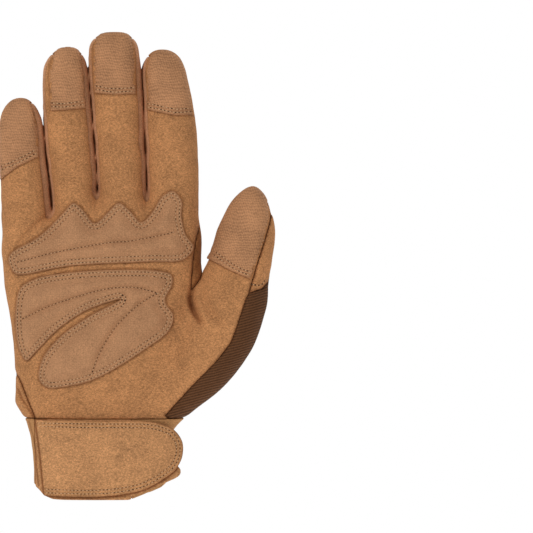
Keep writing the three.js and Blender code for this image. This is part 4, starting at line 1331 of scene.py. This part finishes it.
def cuff_pieces():
    top = float(up(STRAP_TOP))
    b = Block((-43, -26, -2), (47, 23, top + 2), 0.6)
    z = b.z[None, None, :]
    cut = upright(STRAP_LEFT - SEAM / HALF, ELASTIC_STARTS + SEAM / HALF, -0.50, 0.05)
    front = np.maximum(b.poly(cut)[:, None, :], b.y[None, :, None])
    turn = 1 / (1 + np.exp(-np.clip(b.y / 1.5, -30, 30)))[None, :, None]
    hem = b.poly(HEM_FRONT)[:, None, :] * (1 - turn) + b.poly(HEM_BACK)[:, None, :] * turn
    field = smax(wall_of(b), np.maximum(np.maximum(z - top, -z), -hem), 0.6)
    field = smax(field, -front, 0.15)

    # How close each place is to a fold line, for painted shade along it.
    def lines(block):
        return bell(np.minimum(*[block.line(traced(p)) for p in CUFF_LINES]), 0.5)

    # Painted shade along the fold lines in front; behind, a darker line 3 mm under the top.
    dark = np.where(b.y[None, :, None] < 0, 0.7 * lines(b)[:, None, :], 0.35 * bell(z - top + 3.0, 0.5))
    # Painted shade at the cuff's top edge.
    dark = np.maximum(0.2 * bell(z - top, 0.4), dark)
    thin(piece("cuff_elastic", b, field, ELASTIC, dark), b, HAND_SIDE)
    level = np.array([[-33.5, 0.0], [-10.0, 0.0], [10.0, 0.0], [34.0, 0.0]])
    stitch("stitches_cuff", b, field, [], 1, [(open_curve(level + [0, top - 8.2], 20), False)],
           zigzags=[(open_curve(level + [0, top - 3.0], 20), 1.5)])

    aside = np.abs(b.x - across(ELASTIC_STARTS))[:, None, None]
    thread = np.maximum(aside - 0.5, np.abs(b.d + 0.9) - 0.4)
    thread = np.maximum(np.maximum(thread, b.y[None, :, None]), np.maximum(z - top + 0.4, 0.3 - z))
    thread_piece("cuff_seam_thread", b, np.maximum(thread, -hem + 0.3))

    b = Block((-36, -27, -2), (48, 0, top + 1), 0.5)
    tab, _ = sheet_field(b, GAP, GAP + LAYER, TAB)
    part = upright(STRAP_LEFT, ELASTIC_STARTS, -0.403, STRAP_TOP)
    wall, _ = sheet_field(b, -WALL, GAP + LAYER, plan(part))
    wall = smax(wall, -b.poly(HEM_FRONT)[:, None, :], 0.5)
    tab = smax(tab, -b.poly(HEM_FRONT[:6] + [[-0.30, -0.60], [-1.00, -0.60]])[:, None, :], 0.5)
    under = np.maximum(smoothstep(up(-0.06), up(-0.14), b.gz), b.gx < across(-0.5))
    shadow = 0.95 * under * bell(np.maximum(b.poly(STRAP) - 0.45, 0), 0.75)
    # Painted shade along the fold lines, added to the painted shadow under and beside the strap.
    dark = np.maximum(0.8 * lines(b), shadow)[:, None, :]
    piece("cuff_front", b, np.minimum(tab, wall), STRAP_LOOK, dark)

    near = 2 * GAP + LAYER
    b = Block((-36, -28, -1), (48, 0, top + 2), 0.45)
    strap, s = sheet_field(b, near, near + STRAP_THICK, STRAP)
    inside = -b.poly(STRAP)
    # The stitches run off the strap's sewn end, so their outline is drawn past it
    longer = STRAP.copy()
    for k in (0, -1, -2):
        longer[k, 0] -= 9
    border = -b.poly(longer)
    # Painted shade along the strap's edge.
    dark = 0.6 * bell(inside, 0.5)
    for at in STRAP_STITCHES:
        groove = bell(border - at, 0.5)
        strap = np.maximum(strap, s - (near + STRAP_THICK - 0.24 * groove)[:, None, :])
        # Painted shade in the stitch row's groove.
        dark = np.maximum(dark, 0.25 * groove)
    piece("wrist_strap", b, strap, STRAP_LOOK, dark[:, None, :])
    fine = np.vstack([np.linspace(p, q, 12, endpoint=False) for p, q in zip(longer, np.roll(longer, -1, 0))])
    rows = [(in_order(clip_line(offset_line(fine, at), STRAP, 0.6)), False) for at in STRAP_STITCHES]
    stitch("stitches_strap", b, strap, rows, -1)

    b = Block((30, -26, 15), (46, 0, 38), 0.35)
    hook, _ = sheet_field(b, GAP + 0.1, GAP + LAYER, HOOK)
    piece("hook_patch", b, hook, HOOKS)


cuff_pieces()
